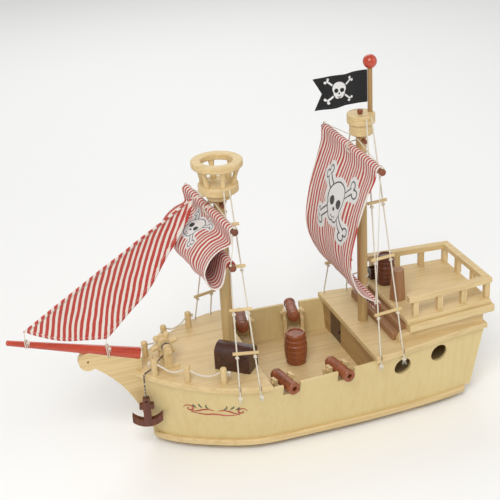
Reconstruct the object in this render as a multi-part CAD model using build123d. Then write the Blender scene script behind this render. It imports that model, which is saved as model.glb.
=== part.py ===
from build123d import *
import os
from math import atan2, cos, degrees, hypot, pi, radians, sin, tan

# Wooden pirate ship for play figures. Millimetres. Bow towards -X, stern +X,
# port side -Y, starboard +Y, +Z up. Origin: under the middle foot batten, on the floor.

# ---- driving dimensions ------------------------------------------------------------
FOOT_H = 8.0                      # battens under the base board
BASE_T = 7.0                      # base board
BASE_LIP = 4.0                    # base board stands proud of the hull sides
DECK_Z = 101.0                    # top edge of the hull sides, all the way round
DECK_T = 7.0                      # foredeck and quarterdeck boards
DECK_LIP = 3.5                    # deck boards overhang the hull sides
PLY = 4.0                         # hull side thickness
WAIST_Z = 60.0                    # top of the waist deck
STEM_T = 10.0                     # stem and beakhead board
FOREDECK_AFT_X = -78.0
QUARTERDECK_FORE_X = 60.0
STERN_X = 227.0                   # aft edge of the quarterdeck board
POOP_X = 114.0                    # fore edge of the poop
POOP_STERN_X = 238.0
BAND_Z, POOP_BOARD_Z, POOP_Z = 121.0, 131.0, 137.0
RAIL_W, RAIL_H, RAIL_Z = 10.0, 7.0, 158.5

FOREMAST = {"x": -99.0, "r": 7.25, "top": 328.0}
MAINMAST = {"x": 84.0, "r": 6.5, "top": 376.0}
YARD_R, YARD_OFF = 4.0, 2.0         # yards are lashed this far in front of their mast
SAIL_T = 1.2
CORD_R = 0.9

GUNPORT_X = (-52.5, 19.2)         # notches in the bulwark, both sides
GUNPORT_W, GUNPORT_DEPTH = 22.0, 15.0
PORTHOLES = ((100.7, 80.0), (155.6, 82.0))
PORTHOLE_R = 12.0

BASE_Z = FOOT_H
HULL_Z = FOOT_H + BASE_T
DECK_TOP = DECK_Z + DECK_T
SIDES = {"port": -1, "starboard": 1}

# Half-breadths (x, y) of the hull side, at its foot and at its top edge
KEEL_LINE = [(-199, 5), (-185, 20), (-168, 33), (-135, 52), (-89, 70), (-37, 74),
             (30, 75.5), (101, 74), (150, 71), (202, 63)]
SHEER_LINE = [(-217, 5), (-200, 28), (-183, 47), (-150, 74), (-100, 98), (-40, 100.5),
              (30, 97.5), (100, 89.5), (155, 79.5), (216, 70)]

# Shroud cords: foot at the deck edge (x, y) and top under the mast head (x, y, z)
FORE_SHROUDS = (((-117.0, 96.5), (-100.0, 25.2, 331.0)), ((-93.0, 103.4), (-93.0, 24.8, 331.0)))
MAIN_SHROUDS = (((66.0, 96.5), (83.0, 18.4, 388.0)), ((99.0, 92.5), (90.0, 17.6, 388.0)))
FORE_RUNG_Z = (147.0, 197.0, 246.0, 293.0)
MAIN_RUNG_Z = (158.0, 224.0, 291.0)
SHROUD_FOOT_Z = 96.0
RUNG_R, RUNG_END, KNOT_R = 2.0, 5.0, 2.7

FORE_POSTS = ((-201.0, 24.0), (-168.5, 54.3), (-130.0, 76.5))
POST_R, POST_H, ROPE_R = 4.0, 22.0, 1.1

# Yards: half length, height, slew about the mast in degrees
FORE_UPPER_YARD = {"half": 79.0, "z": 301.0, "slew": 5.0}
FORE_LOWER_YARD = {"half": 86.0, "z": 260.0, "slew": 0.0}
MAIN_UPPER_YARD = {"half": 91.0, "z": 347.0, "slew": 0.0}
MAIN_LOWER_YARD = {"half": 75.5, "z": 167.0, "slew": 0.0}

# Sail sections (x, z), from the upper yard down to the lower yard
MAINSAIL = [(67.2, 345), (59, 317), (45, 275), (38, 228), (48, 190), (67.2, 169)]
FORESAIL = [(-117.0, 300), (-127, 279), (-145, 258), (-141, 240), (-130, 239), (-116.6, 257)]
MAINSAIL_HALF, FORESAIL_HALF = 80.0, 74.0

BOWSPRIT_BUTT, BOWSPRIT_TIP = (-213.0, 129.0), (-366.0, 179.0)
BOWSPRIT_R, BOWSPRIT_TIP_R = 7.5, 3.2

WINDLASS = (-181.0, 134.0)        # axis of the drum (x, z)
DRUM_R, HUB_R, AXLE_R = 4.5, 9.0, 2.5
WINDLASS_POST_Y = 14.0
ANCHOR = (-214.5, -21.0)          # shank (x, y)
ANCHOR_YAW = -15.0
ANCHOR_LOW, ANCHOR_HIGH = 38.0, 78.0

CHEST = {"x": -104.0, "y": -45.0, "yaw": -41.0, "l": 46.0, "w": 26.0, "h": 20.0, "lid": 12.0}
CHEST_WALL = 2.6

DOOR_HINGE_Y, DOOR_W, DOOR_LOW, DOOR_HIGH = 62.0, 36.0, WAIST_Z + 1.0, 95.0
DOOR_T, DOOR_PIN_R, DOOR_GAP = 3.4, 1.1, 0.35
BULKHEAD_T = 5.0
CABIN_X = QUARTERDECK_FORE_X + 3.0

CANNON_Z, CANNON_YAW, CANNON_TRUNNION_IN = 96.5, 12.0, 22.0
CANNON_R, TRUNNION_R = 8.0, 2.6
RUN = 0.05                        # radial running clearance of pins and axles


# ---- helpers -----------------------------------------------------------------------
def inset(line, t):
    """Open outline moved sideways by t: towards the middle for a half-breadth line."""
    moved = []
    for i, (x, y) in enumerate(line):
        (xa, ya), (xb, yb) = line[max(i - 1, 0)], line[min(i + 1, len(line) - 1)]
        run = hypot(xb - xa, yb - ya)
        moved.append((x + t * (yb - ya) / run, y - t * (xb - xa) / run))
    return moved


def hull_line(line, t):
    """Half-breadth line inset by t that still ends on the transom's plane."""
    moved = inset(line, t)
    return moved[:-1] + [(line[-1][0], moved[-1][1])]


def plan_face(line, z, nose=0.0):
    """Level face between a half-breadth line and its mirror image."""
    (x0, y0), (x1, y1) = line[0], line[-1]
    port = Spline(*[(x, -y, z) for x, y in line])
    starboard = Spline(*[(x, y, z) for x, y in reversed(line)])
    stern = Line((x1, -y1, z), (x1, y1, z))
    if nose:
        bow = ThreePointArc((x0, y0, z), (x0 - nose, 0, z), (x0, -y0, z))
    else:
        bow = Line((x0, y0, z), (x0, -y0, z))
    return Face(Wire([port, stern, starboard, bow]))


def polygon(points):
    """Flat face through a closed ring of corners."""
    return Face(Wire.make_polygon([Vector(*p) for p in points]))


def side_plate(edges, thickness, y=0.0):
    """Board in a vertical fore-and-aft plane, from edges drawn in X and Z."""
    return Pos(0, y + thickness / 2, 0) * extrude(Plane.XZ * make_face(edges), thickness)


def block(x0, x1, y0, y1, z0, z1):
    """Box between two corners."""
    return Pos((x0 + x1) / 2, (y0 + y1) / 2, (z0 + z1) / 2) * Box(x1 - x0, y1 - y0, z1 - z0)


def dowel(a, b, r):
    """Round stick of radius r between two points."""
    a, b = Vector(*a), Vector(*b)
    stick = Solid.make_cylinder(r, (b - a).length, Plane(origin=a, z_dir=b - a))
    return Part() + stick


def turned(profile, centre=(0, 0, 0)):
    """Piece turned about a vertical axis from (radius, height) corners."""
    outline = Polyline(*[(r, z) for r, z in profile], close=True)
    return Pos(*centre) * revolve(Plane.XZ * make_face(outline), Axis.Z)


def tube(points, r, bend):
    """Round cord along straight runs joined by tangent arcs."""
    path = FilletPolyline(*points, radius=bend) if len(points) > 2 else Line(*points)
    start = Plane(origin=path @ 0, z_dir=path % 0)
    return sweep(start * Circle(r), path)


def domed_post(x, y, z, r, height):
    """Short dowel with a rounded top."""
    post = Cylinder(r, height, align=(Align.CENTER, Align.CENTER, Align.MIN))
    return Pos(x, y, z) * fillet(post.edges().group_by(Axis.Z)[-1], r * 0.6)


def both_sides(make):
    """A piece and its mirror image across the centre plane."""
    return [make, mirror(make, Plane.XZ)]


def gather(pieces):
    """Separate solids of one node."""
    solids = [s for p in pieces for s in (p.solids() if hasattr(p, "solids") else [p])]
    return Part() + Compound(children=solids) if len(solids) > 1 else Part() + solids[0]


# ---- hull --------------------------------------------------------------------------
def hull_block(t):
    """Solid hull body, inset by t from the outside of the sides."""
    foot, top = hull_line(KEEL_LINE, t), hull_line(SHEER_LINE, t)
    return loft([plan_face(foot, HULL_Z), plan_face(top, DECK_Z)], ruled=True)


def hull_side(side, outer, cavity):
    """One bent plywood side with its gunport notches and portholes."""
    half = Pos(0, side * (100 + STEM_T / 2), 60) * Box(700, 200, 200)
    panel = (outer - cavity) & half
    for x in GUNPORT_X:
        panel -= Pos(x, side * 95, DECK_Z) * Box(GUNPORT_W, 50, 2 * GUNPORT_DEPTH)
    for x, z in PORTHOLES:
        panel -= Pos(x, side * 85, z) * Rot(90, 0, 0) * Cylinder(PORTHOLE_R, 60)
    return panel


def foot_battens():
    """Three chamfered battens that the ship stands on; the middle one is the origin."""
    battens = []
    for x, length, half in ((-117, 25, 45), (0, 24, 30), (123, 30, 66)):
        batten = Pos(x, 0, FOOT_H / 2) * Box(length, 2 * half, FOOT_H)
        battens.append(chamfer(batten.edges().group_by(Axis.Z)[-1].filter_by(Axis.X), 3))
    return gather(battens)


def base_board():
    """Flat board under the hull, its outline a lip wider than the sides."""
    board = extrude(plan_face(inset(KEEL_LINE, -BASE_LIP), BASE_Z, nose=2.5), BASE_T)
    corners = board.edges().filter_by(Axis.Z).sort_by(Axis.X)[-2:]
    board = fillet(corners, 7)
    return fillet(board.edges().group_by(Axis.Z)[-1], 1.2)


def stem_beak():
    """Upright board: stem, cutwater and beakhead that carries the bowsprit."""
    (bx, bz), (tx, tz) = BOWSPRIT_BUTT, BOWSPRIT_TIP
    rise = (tz - bz) / (bx - tx)
    top = lambda x: bz + (bx - x) * rise - 3.0
    cx, r = -275.0, 12.0
    cz = top(cx) - r / cos(atan2(rise, 1))
    up = atan2(1, rise)
    nose_top = (cx + r * cos(up), cz + r * sin(up))
    outline = [
        Line((-203, HULL_Z), (-216, 46)),
        ThreePointArc((-216, 46), (-246, 101), (cx + r * 0.5, cz - r * 0.866)),
        ThreePointArc((cx + r * 0.5, cz - r * 0.866), (cx - r, cz), nose_top),
        Line(nose_top, (bx + 1, top(bx + 1))),
        Line((bx + 1, top(bx + 1)), (bx + 1, DECK_Z)),
        Line((bx + 1, DECK_Z), (-186, DECK_Z)),
        Line((-186, DECK_Z), (-186, HULL_Z)),
        Line((-186, HULL_Z), (-203, HULL_Z)),
    ]
    board = side_plate(outline, STEM_T)
    return board - Pos(cx - 1, 0, cz) * Rot(90, 0, 0) * Cylinder(1.6, 30)


def transom():
    """Raked board across the stern, its edge grain showing at the corners."""
    (x0, y0), (x1, y1), t = KEEL_LINE[-1], SHEER_LINE[-1], 8.0
    sections = [polygon([(x, -y, z), (x + t, -y, z), (x + t, y, z), (x, y, z)])
                for x, y, z in ((x0, y0, HULL_Z), (x1, y1, DECK_Z))]
    return loft(sections, ruled=True)


def bulkhead(x, cavity):
    """Upright board across the hull between the waist deck and the deck above."""
    return block(x, x + BULKHEAD_T, -120, 120, WAIST_Z, DECK_Z) & cavity


def door_opening():
    """Gap that the cabin door swings in, with holes for its two pivot pins."""
    x = CABIN_X + BULKHEAD_T / 2
    edge = DOOR_HINGE_Y + DOOR_T / 2 + DOOR_GAP
    gap = block(CABIN_X - 1, CABIN_X + BULKHEAD_T + 1, DOOR_HINGE_Y - DOOR_W - DOOR_GAP, edge,
                WAIST_Z, DOOR_HIGH + DOOR_GAP)
    return gap + dowel((x, DOOR_HINGE_Y, WAIST_Z - 3), (x, DOOR_HINGE_Y, DOOR_HIGH + 3),
                       DOOR_PIN_R + RUN)


def cabin_door():
    """Plank door with two pivot pins on its hinge edge and a round pull."""
    x = CABIN_X + BULKHEAD_T / 2
    leaf = block(x - DOOR_T / 2, x + DOOR_T / 2, DOOR_HINGE_Y - DOOR_W, DOOR_HINGE_Y,
                 DOOR_LOW, DOOR_HIGH)
    for i in range(1, 4):
        y = DOOR_HINGE_Y - DOOR_W + i * DOOR_W / 4
        leaf -= block(x - DOOR_T, x - DOOR_T / 2 + 0.5, y - 0.4, y + 0.4, DOOR_LOW, DOOR_HIGH)
    leaf += dowel((x, DOOR_HINGE_Y, DOOR_LOW), (x, DOOR_HINGE_Y, DOOR_HIGH), DOOR_T / 2)
    leaf += dowel((x, DOOR_HINGE_Y, WAIST_Z - 2.5), (x, DOOR_HINGE_Y, DOOR_HIGH + 2.6),
                  DOOR_PIN_R)
    pull_z = (DOOR_LOW + DOOR_HIGH) / 2
    return leaf + Pos(x - DOOR_T / 2 - 1.4, DOOR_HINGE_Y - DOOR_W + 5, pull_z) * Sphere(2.2)


def deck_board(x0, x1):
    """Stretch of the upper deck board between two stations."""
    line = inset(SHEER_LINE, -DECK_LIP)
    line = line[:-1] + [(STERN_X, line[-1][1])]
    blank = extrude(plan_face(line, DECK_Z, nose=3.0), DECK_T)
    board = blank & block(x0, x1, -200, 200, DECK_Z - 1, DECK_TOP + 1)
    return fillet(board.edges().group_by(Axis.Z)[-1], 1.5)


def side_grooves(shrouds):
    """Grooves in the deck edge that the shroud cords lie in, both sides."""
    cuts = []
    for shroud in shrouds:
        x, y, z = shroud_point(shroud, DECK_Z + DECK_T / 2)
        for side in SIDES.values():
            cuts.append(Pos(x, side * (abs(y) + 4), z) * Box(3, 14, DECK_T + 2))
    return cuts


# ---- poop --------------------------------------------------------------------------
def poop_half(x, offset):
    """Half-breadth of the poop at a station."""
    return 75.0 - (x - 99.0) * 8.5 / 124.0 + offset


def poop_plan(x0, x1, offset, z0, z1):
    """Tapered level board of the poop."""
    y0, y1 = poop_half(x0, offset), poop_half(x1, offset)
    return extrude(polygon([(x0, -y0, z0), (x1, -y1, z0), (x1, y1, z0), (x0, y0, z0)]), z1 - z0)


def poop_cheeks():
    """Two side boards with rounded front ends, and the board across the stern."""
    x0, x1, t, nose = 100.0, 224.0, 8.0, 11.0
    ring = poop_plan(x0, x1, 0, DECK_TOP, BAND_Z) - poop_plan(x0 - 1, x1 - t, -t, DECK_TOP, BAND_Z)
    profile = [
        Line((x0, DECK_TOP), (x0, BAND_Z - nose)),
        ThreePointArc((x0, BAND_Z - nose), (x0 + nose * 0.293, BAND_Z - nose * 0.293),
                      (x0 + nose, BAND_Z)),
        Line((x0 + nose, BAND_Z), (x1, BAND_Z)), Line((x1, BAND_Z), (x1, DECK_TOP)),
        Line((x1, DECK_TOP), (x0, DECK_TOP)),
    ]
    return ring & side_plate(profile, 200)


def poop_band():
    """Thick middle board that stands proud all round."""
    return fillet(poop_plan(POOP_X, POOP_STERN_X, 5.5, BAND_Z, POOP_BOARD_Z).edges(), 1.2)


def poop_deck():
    """Top board of the poop."""
    return fillet(poop_plan(POOP_X - 2, POOP_STERN_X - 3, 1, POOP_BOARD_Z, POOP_Z).edges(), 1.2)


def stairs():
    """Two full-width steps up to the poop."""
    steps = []
    for i, x in enumerate((96.0, 105.0)):
        step = block(x, POOP_X, -65.8, 65.8, DECK_TOP + 10 * i, DECK_TOP + 10 * (i + 1))
        steps.append(fillet(step.edges().filter_by(Axis.Y).group_by(Axis.X)[0], 1))
    return gather(steps)


def poop_rail():
    """Flat handrail on both sides and across the stern."""
    x0, inner_x = 117.0, POOP_STERN_X - RAIL_W
    outer = poop_plan(x0, POOP_STERN_X, -3, RAIL_Z, RAIL_Z + RAIL_H)
    rail = outer - poop_plan(x0 - 1, inner_x, -3 - RAIL_W, RAIL_Z, RAIL_Z + RAIL_H)
    cut = block(inner_x, 300, -200, 200, 0, 300)
    return gather([fillet(s.edges(), 0.9) for piece in (rail - cut, rail & cut)
                   for s in piece.solids()])


def poop_rail_posts():
    """Square posts between the poop deck and its handrail."""
    inset_y = -3 - RAIL_W / 2
    feet = [(x, poop_half(x, inset_y)) for x in (127, 162, 197, 232)] + [(233, 21)]
    posts = [block(x - 3.5, x + 3.5, y - 3.5, y + 3.5, POOP_Z, RAIL_Z)
             for x, half in feet for y in (-half, half)]
    return gather(posts)


# ---- masts, tops and spars ---------------------------------------------------------
def mast(spec):
    """Round pole standing on the base board."""
    return dowel((spec["x"], 0, HULL_Z), (spec["x"], 0, spec["top"]), spec["r"])


def nest_floor():
    """Crow's nest floor with the collar disc under it."""
    x = FOREMAST["x"]
    return turned([(0, 313), (13.5, 313), (15, 314.5), (15, 322), (23, 322), (24, 323),
                   (24, 331), (23, 332), (0, 332)], (x, 0, 0))


def nest_ring():
    """Broad rounded rim of the crow's nest."""
    ring = Cylinder(30.5, 8) - Cylinder(18.5, 10)
    return Pos(FOREMAST["x"], 0, 357) * fillet(ring.edges(), 2)


def nest_balusters():
    """Six waisted balusters that lean outwards between floor and rim."""
    rise, foot_r, head_r = 23.0, 18.0, 24.0
    slope = degrees(atan2(head_r - foot_r, rise))
    length = hypot(rise, head_r - foot_r)
    stick = turned([(0, 0), (3.6, 0), (3.6, 2.5), (2.6, length * 0.45), (3.0, length * 0.7),
                    (4.0, length - 2), (4.0, length), (0, length)])
    lean = Pos(foot_r, 0, 331) * Rot(0, slope, 0) * stick
    return gather([Pos(FOREMAST["x"], 0, 0) * Rot(0, 0, 60 * k + 30) * lean for k in range(6)])


def main_top():
    """Stacked platform discs at the head of the mainmast, grooved like a tub."""
    return turned([(0, 364), (13.5, 364), (14.5, 365), (14.5, 370.4), (13.8, 371), (14.5, 371.6),
                   (14.5, 377.4), (16.6, 378), (17.2, 379), (17.2, 383.4), (16.4, 384),
                   (17.2, 384.6), (17.2, 389.2), (16.4, 390), (0, 390)], (MAINMAST["x"], 0, 0))


def mast_pegs():
    """Turned pegs that the halyards are made fast to, on the head and on both masts."""
    x, r = MAINMAST["x"], MAINMAST["r"]
    knob = turned([(0, 387), (2.4, 387), (2.4, 391), (3.4, 392), (3.4, 395.4), (2.4, 396.4),
                   (0, 396.4)], (x - 3, -4, 0))
    pegs = [dowel((m["x"], -m["r"] - 7, z), (m["x"], m["r"] + 7, z), 2.6)
            for m, z in ((MAINMAST, 357.0), (FOREMAST, 307.0))]
    return gather([knob] + pegs)


def yard(mast_spec, spec):
    """Round spar lashed across the front of a mast, with rounded ends."""
    out = mast_spec["r"] + YARD_OFF + YARD_R
    spar = Rot(90, 0, 0) * Cylinder(YARD_R, 2 * spec["half"])
    spar = fillet(spar.edges(), 1.5)
    return (Pos(mast_spec["x"], 0, spec["z"]) * Rot(0, 0, spec["slew"]) * Pos(-out, 0, 0)) * spar


def flagpole():
    """Thin pole set in the rear of the main top."""
    return dowel((96, 0, 380), (96, 0, 447), 3.0)


def bowsprit():
    """Tapered spar that rises from the beakhead."""
    (bx, bz), (tx, tz) = BOWSPRIT_BUTT, BOWSPRIT_TIP
    run = Vector(tx - bx, 0, tz - bz)
    plane = Plane(origin=(bx, 0, bz), z_dir=run)
    spar = Solid.make_cone(BOWSPRIT_R, BOWSPRIT_TIP_R, run.length, plane)
    tip = spar.edges().sort_by(Axis.X)[0]
    return Part() + spar.fillet(2.2, [tip])


# ---- sails and flag ----------------------------------------------------------------
def bellied_sail(section, half, slew):
    """Square sail hung between two yards, its head following the yard's slew."""
    faces = []
    for y in (-half, half):
        lean = -y * tan(radians(slew))
        top, low = section[0][1], section[-1][1]
        line = [(x + lean * max(0, (z - low) / (top - low)), z) for x, z in section]
        back = inset(line, -SAIL_T)
        front_edge = Spline(*[(x, y, z) for x, z in line])
        back_edge = Spline(*[(x, y, z) for x, z in reversed(back)])
        foot = Line(front_edge @ 1, back_edge @ 0)
        head = Line(back_edge @ 1, front_edge @ 0)
        faces.append(Face(Wire([front_edge, foot, back_edge, head])))
    return loft(faces, ruled=True)


def jib():
    """Three-cornered sail between the foremast head and the bowsprit."""
    outline = [Line((-130, 319), (-345, 188.5)),
               Spline((-345, 188.5), (-300, 166), (-250, 158)),
               Spline((-250, 158), (-203, 200), (-165, 252), (-139, 292), (-130, 319))]
    return side_plate(outline, SAIL_T)


def flag():
    """Swallow-tailed flag on its pole."""
    corners = [(93, 442), (25, 438), (35, 419), (26, 400.5), (93, 403)]
    return side_plate(Polyline(*corners, close=True), 1.0)


# ---- rigging -----------------------------------------------------------------------
def shroud_point(shroud, z):
    """Point of a port shroud at a height."""
    (x0, y0), (x1, y1, z1) = shroud
    k = (z - SHROUD_FOOT_Z) / (z1 - SHROUD_FOOT_Z)
    return (x0 + (x1 - x0) * k, -(y0 + (y1 - y0) * k), z)


def shroud_cords(shrouds):
    """Taut cords from the deck edge to the mast head."""
    port = [dowel(shroud_point(s, SHROUD_FOOT_Z), shroud_point(s, s[1][2]), CORD_R)
            for s in shrouds]
    return [p for cord in port for p in both_sides(cord)]


def rungs(shrouds, levels):
    """Dowels across each pair of shrouds, the cords running through them."""
    sticks = []
    for z in levels:
        a, b = (Vector(*shroud_point(s, z)) for s in shrouds)
        over = (b - a).normalized() * RUNG_END
        sticks += both_sides(dowel(tuple(a - over), tuple(b + over), RUNG_R))
    return sticks


def knots():
    """Knots under every rung and under the deck edge."""
    beads = []
    for shrouds, levels in ((FORE_SHROUDS, FORE_RUNG_Z), (MAIN_SHROUDS, MAIN_RUNG_Z)):
        for s in shrouds:
            for z in [SHROUD_FOOT_Z] + [z - RUNG_R - KNOT_R for z in levels]:
                beads += both_sides(Pos(*shroud_point(s, z)) * Sphere(KNOT_R))
    return gather(beads)


def yard_end(mast_spec, spec, side, along):
    """Point on the middle of a yard, a share of its half length out from the mast."""
    a, out = radians(spec["slew"]), mast_spec["r"] + YARD_OFF + YARD_R
    y = side * along * spec["half"]
    return (mast_spec["x"] - out * cos(a) - y * sin(a), -out * sin(a) + y * cos(a), spec["z"])


def yard_cords():
    """Lashings at the masts, lifts to the yard ends and sheets from yard to yard."""
    cords = []
    for m, upper, lower, peg_z in ((FOREMAST, FORE_UPPER_YARD, FORE_LOWER_YARD, 307.0),
                                   (MAINMAST, MAIN_UPPER_YARD, MAIN_LOWER_YARD, 357.0)):
        for side in SIDES.values():
            ux, uy, uz = yard_end(m, upper, side, 0.97)
            lx, ly, lz = yard_end(m, lower, side, 0.97)
            cords.append(dowel((m["x"] - m["r"] - 0.8, side * 2, peg_z + 3.6),
                               (ux, uy, uz + YARD_R + 1), 0.6))
            cords.append(dowel((ux - 2.6, uy, uz - 3.4), (lx - 2.6, ly, lz + 3.4), 0.6))
        for spec in (upper, lower):
            x = m["x"] - m["r"] - YARD_OFF
            cords.append(dowel((x - 0.6, 0, spec["z"]), (x + YARD_OFF + 0.6, 0, spec["z"]), 2.4))
    return cords


def jib_cords():
    """Ties at the three corners of the jib."""
    (bx, bz), (tx, tz) = BOWSPRIT_BUTT, BOWSPRIT_TIP
    top = lambda x: bz + (bx - x) * (tz - bz) / (bx - tx) + 0.5 * BOWSPRIT_R
    return [dowel((-345, 0, 187), (-345, 0, top(-345) - 0.4), 0.6),
            dowel((-251, 0, 158), (-251, 0, top(-251) + 1.6), 0.6),
            dowel((-131, 0, 318), (FOREMAST["x"] - 15.1, 0, 318), 0.6)]


def deck_rope(side):
    """Rope rail through the foredeck posts, sagging between them."""
    (ax, ay), (bx, by), (cx, cy) = FORE_POSTS
    high, low = DECK_TOP + 16.0, DECK_TOP + 9.0
    mid = lambda p, q: (p + q) / 2
    points = [(ax - 5, side * (ay - 2.5), high), (ax + 5, side * (ay + 4), high - 1),
              (mid(ax, bx), side * mid(ay, by), low), (bx, side * by, high),
              (mid(bx, cx), side * mid(by, cy), low), (cx, side * cy, high),
              (cx + 6, side * (cy + 3), high - 1)]
    return tube(points, ROPE_R, 4.0)


# ---- foredeck fittings -------------------------------------------------------------
def foredeck_posts():
    """Round-topped posts along the foredeck edge."""
    return gather([domed_post(x, side * y, DECK_TOP - 4, POST_R, POST_H + 4)
                   for x, y in FORE_POSTS for side in SIDES.values()])


def windlass_posts():
    """Base plate and two uprights with the holes that the drum's axle turns in."""
    x, z = WINDLASS
    frame = block(x - 13, x + 13, -WINDLASS_POST_Y - 4, WINDLASS_POST_Y + 4, DECK_TOP, DECK_TOP + 4)
    for side in SIDES.values():
        y = side * WINDLASS_POST_Y
        post = block(x - 5, x + 5, y - 2.5, y + 2.5, DECK_TOP + 4, z + 6)
        frame += fillet(post.edges().group_by(Axis.Z)[-1].filter_by(Axis.Y), 4)
    return frame - dowel((x, -30, z), (x, 30, z), AXLE_R + RUN)


def windlass_drum():
    """Drum on its axle, with a hub of stubby round-ended hand pegs."""
    x, z = WINDLASS
    inner = WINDLASS_POST_Y - 2.5 - 0.3
    drum = dowel((x, -inner, z), (x, inner, z), DRUM_R)
    drum += dowel((x, -WINDLASS_POST_Y - 5, z), (x, WINDLASS_POST_Y + 5, z), AXLE_R)
    for side in SIDES.values():
        y = side * (WINDLASS_POST_Y + 2.5 + 0.3)
        drum += dowel((x, y, z), (x, y + side * 3, z), 4.5)
    drum += dowel((x, -4.5, z), (x, 4.5, z), HUB_R)
    peg = Pos(0, 0, HUB_R - 2) * Cylinder(3.3, 10, align=(Align.CENTER, Align.CENTER, Align.MIN))
    peg = fillet(peg.edges().group_by(Axis.Z)[-1], 2)
    for k in range(6):
        drum += Pos(x, 0, z) * Rot(0, 60 * k + 15, 0) * peg
    return drum


def cord_coil():
    """Turns of the anchor cord wound on the drum."""
    x, z = WINDLASS
    ring = dowel((x, -10.4, z), (x, -5.2, z), DRUM_R + 1.7) - dowel((x, -12, z), (x, -4, z), DRUM_R)
    return ring


def anchor():
    """Flat board anchor: shank with an eye, stock and two curved arms."""
    low, high = ANCHOR_LOW, ANCHOR_HIGH
    shank = block(-4.5, 4.5, -4, 4, low + 8, high)
    shank = fillet(shank.edges().filter_by(Axis.Y).group_by(Axis.Z)[-1], 3.5)
    arms = Pos(0, 0, low + 26) * Rot(90, 0, 0) * (Cylinder(26, 8) - Pos(0, 7, 0) * Cylinder(24, 10))
    arms &= block(-18.5, 18.5, -5, 5, low, low + 20)
    stock = fillet(block(-9, 9, -4, 4, high - 15, high - 9).edges().filter_by(Axis.Y), 1.5)
    body = shank + arms + stock
    body -= Pos(0, 0, high - 4.5) * Rot(90, 0, 0) * Cylinder(1.5, 20)
    return Pos(ANCHOR[0], ANCHOR[1], 0) * Rot(0, 0, ANCHOR_YAW) * body


def anchor_cord():
    """Cord from the windlass over the foredeck to its groove in the bow edge."""
    x, z = WINDLASS
    low = z - DRUM_R - 3.0
    return tube([(x, -8, low), (x - 14, -11, 118), (-206, -15.6, DECK_TOP + 1.2),
                 (-212.2, -19.2, DECK_TOP + 1.2), (-212.6, -19.6, DECK_Z + 1)], 0.9, 1.5)


def anchor_fall():
    """Hanging part of the cord, from the bow edge to the anchor's eye."""
    x, y = ANCHOR
    return dowel((-212.6, -19.6, DECK_Z + 0.8), (x, y - 0.4, ANCHOR_HIGH + 0.1), 0.9)


def in_chest(piece):
    """Places a piece that is drawn in the chest's own frame."""
    return Pos(CHEST["x"], CHEST["y"], DECK_TOP) * Rot(0, 0, CHEST["yaw"]) * piece


def chest_hinge(x0, x1, grow=0.0):
    """Stretch of the chest's hinge barrel."""
    y, z = CHEST["w"] / 2 + 1.9, CHEST["h"] + 0.1
    return dowel((x0, y, z), (x1, y, z), 1.8 + grow)


def chest_body():
    """Open box with the outer hinge knuckles and their pin."""
    l, w, h, t = CHEST["l"], CHEST["w"], CHEST["h"], CHEST_WALL
    box = block(-l / 2, l / 2, -w / 2, w / 2, 0, h)
    for x in (-l / 2 + 7, l / 2 - 7):
        band = block(x - 2, x + 2, -w / 2 - 0.8, -w / 2, 0, h)
        box += band
    box -= block(-l / 2 + t, l / 2 - t, -w / 2 + t, w / 2 - t, t, h + 1)
    for side in (-1, 1):
        x0, x1 = sorted((side * 6.3, side * 12))
        box += chest_hinge(x0, x1) + block(x0, x1, w / 2 - 0.1, w / 2 + 1.9, h - 5, h + 0.1)
    y, z = w / 2 + 1.9, h + 0.1
    box -= block(-l, l, w / 2 - 6, w / 2, h, h + 5)
    return in_chest(box + dowel((-12, y, z), (12, y, z), 0.8))


def chest_lid():
    """Domed lid with the middle hinge knuckle, hollow underneath."""
    l, w, h, rise, t = CHEST["l"], CHEST["w"], CHEST["h"], CHEST["lid"], CHEST_WALL
    z0 = h + 0.3

    def dome(cut, grow):
        half, top = w / 2 - cut, rise - cut
        edges = [Line((-half, 0), (-half, top * 0.35)),
                 ThreePointArc((-half, top * 0.35), (0, top), (half, top * 0.35)),
                 Line((half, top * 0.35), (half, 0)), Line((half, 0), (-half, 0))]
        end = Plane.YZ * make_face(edges)
        return Pos(-l / 2 + grow, 0, z0) * extrude(end, l - 2 * grow)

    lid = dome(0, 0) - dome(t, t)
    y, z = w / 2 + 1.9, h + 0.1
    lid += dowel((-6, y, z), (6, y, z), 1.8) + block(-6, 6, w / 2 - 0.1, w / 2 + 1.9, z0, z0 + 3.5)
    lid -= dowel((-30, y, z), (30, y, z), 0.8 + RUN)
    latch = fillet(block(-2.5, 2.5, -w / 2 - 1.6, -w / 2, z0, z0 + 4).edges(), 0.5)
    return in_chest(lid + latch)


# ---- cannons -----------------------------------------------------------------------
def at_gunport(x, side, piece):
    """Places a piece drawn with the muzzle towards -Y and the trunnion at the origin."""
    y = side * (100.0 - CANNON_TRUNNION_IN)
    yaw = CANNON_YAW if side < 0 else 180 - CANNON_YAW
    shift = tan(radians(CANNON_YAW)) * CANNON_TRUNNION_IN
    return Pos(x - shift, y, CANNON_Z) * Rot(0, 0, yaw) * piece


def cannon_barrel():
    """Turned barrel with a rounded breech, bored across for its trunnion."""
    profile = [(0, -19), (3, -19), (6.2, -17.4), (7.8, -14.5), (CANNON_R, -11), (7.4, -10),
               (7.4, -8.6), (CANNON_R, -7.8), (7.6, 8), (7.2, 9), (7.6, 10), (7, 22),
               (7.9, 23), (7.9, 27), (7.2, 28), (3.2, 28), (3.2, 14), (0, 14)]
    return Rot(90, 0, 0) * turned(profile) - dowel((-15, 0, 0), (15, 0, 0), TRUNNION_R + RUN)


def cannon_trunnion():
    """Dowel fixed in the cheeks, that the barrel tips on."""
    return dowel((-16, 0, 0), (16, 0, 0), TRUNNION_R)


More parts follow.
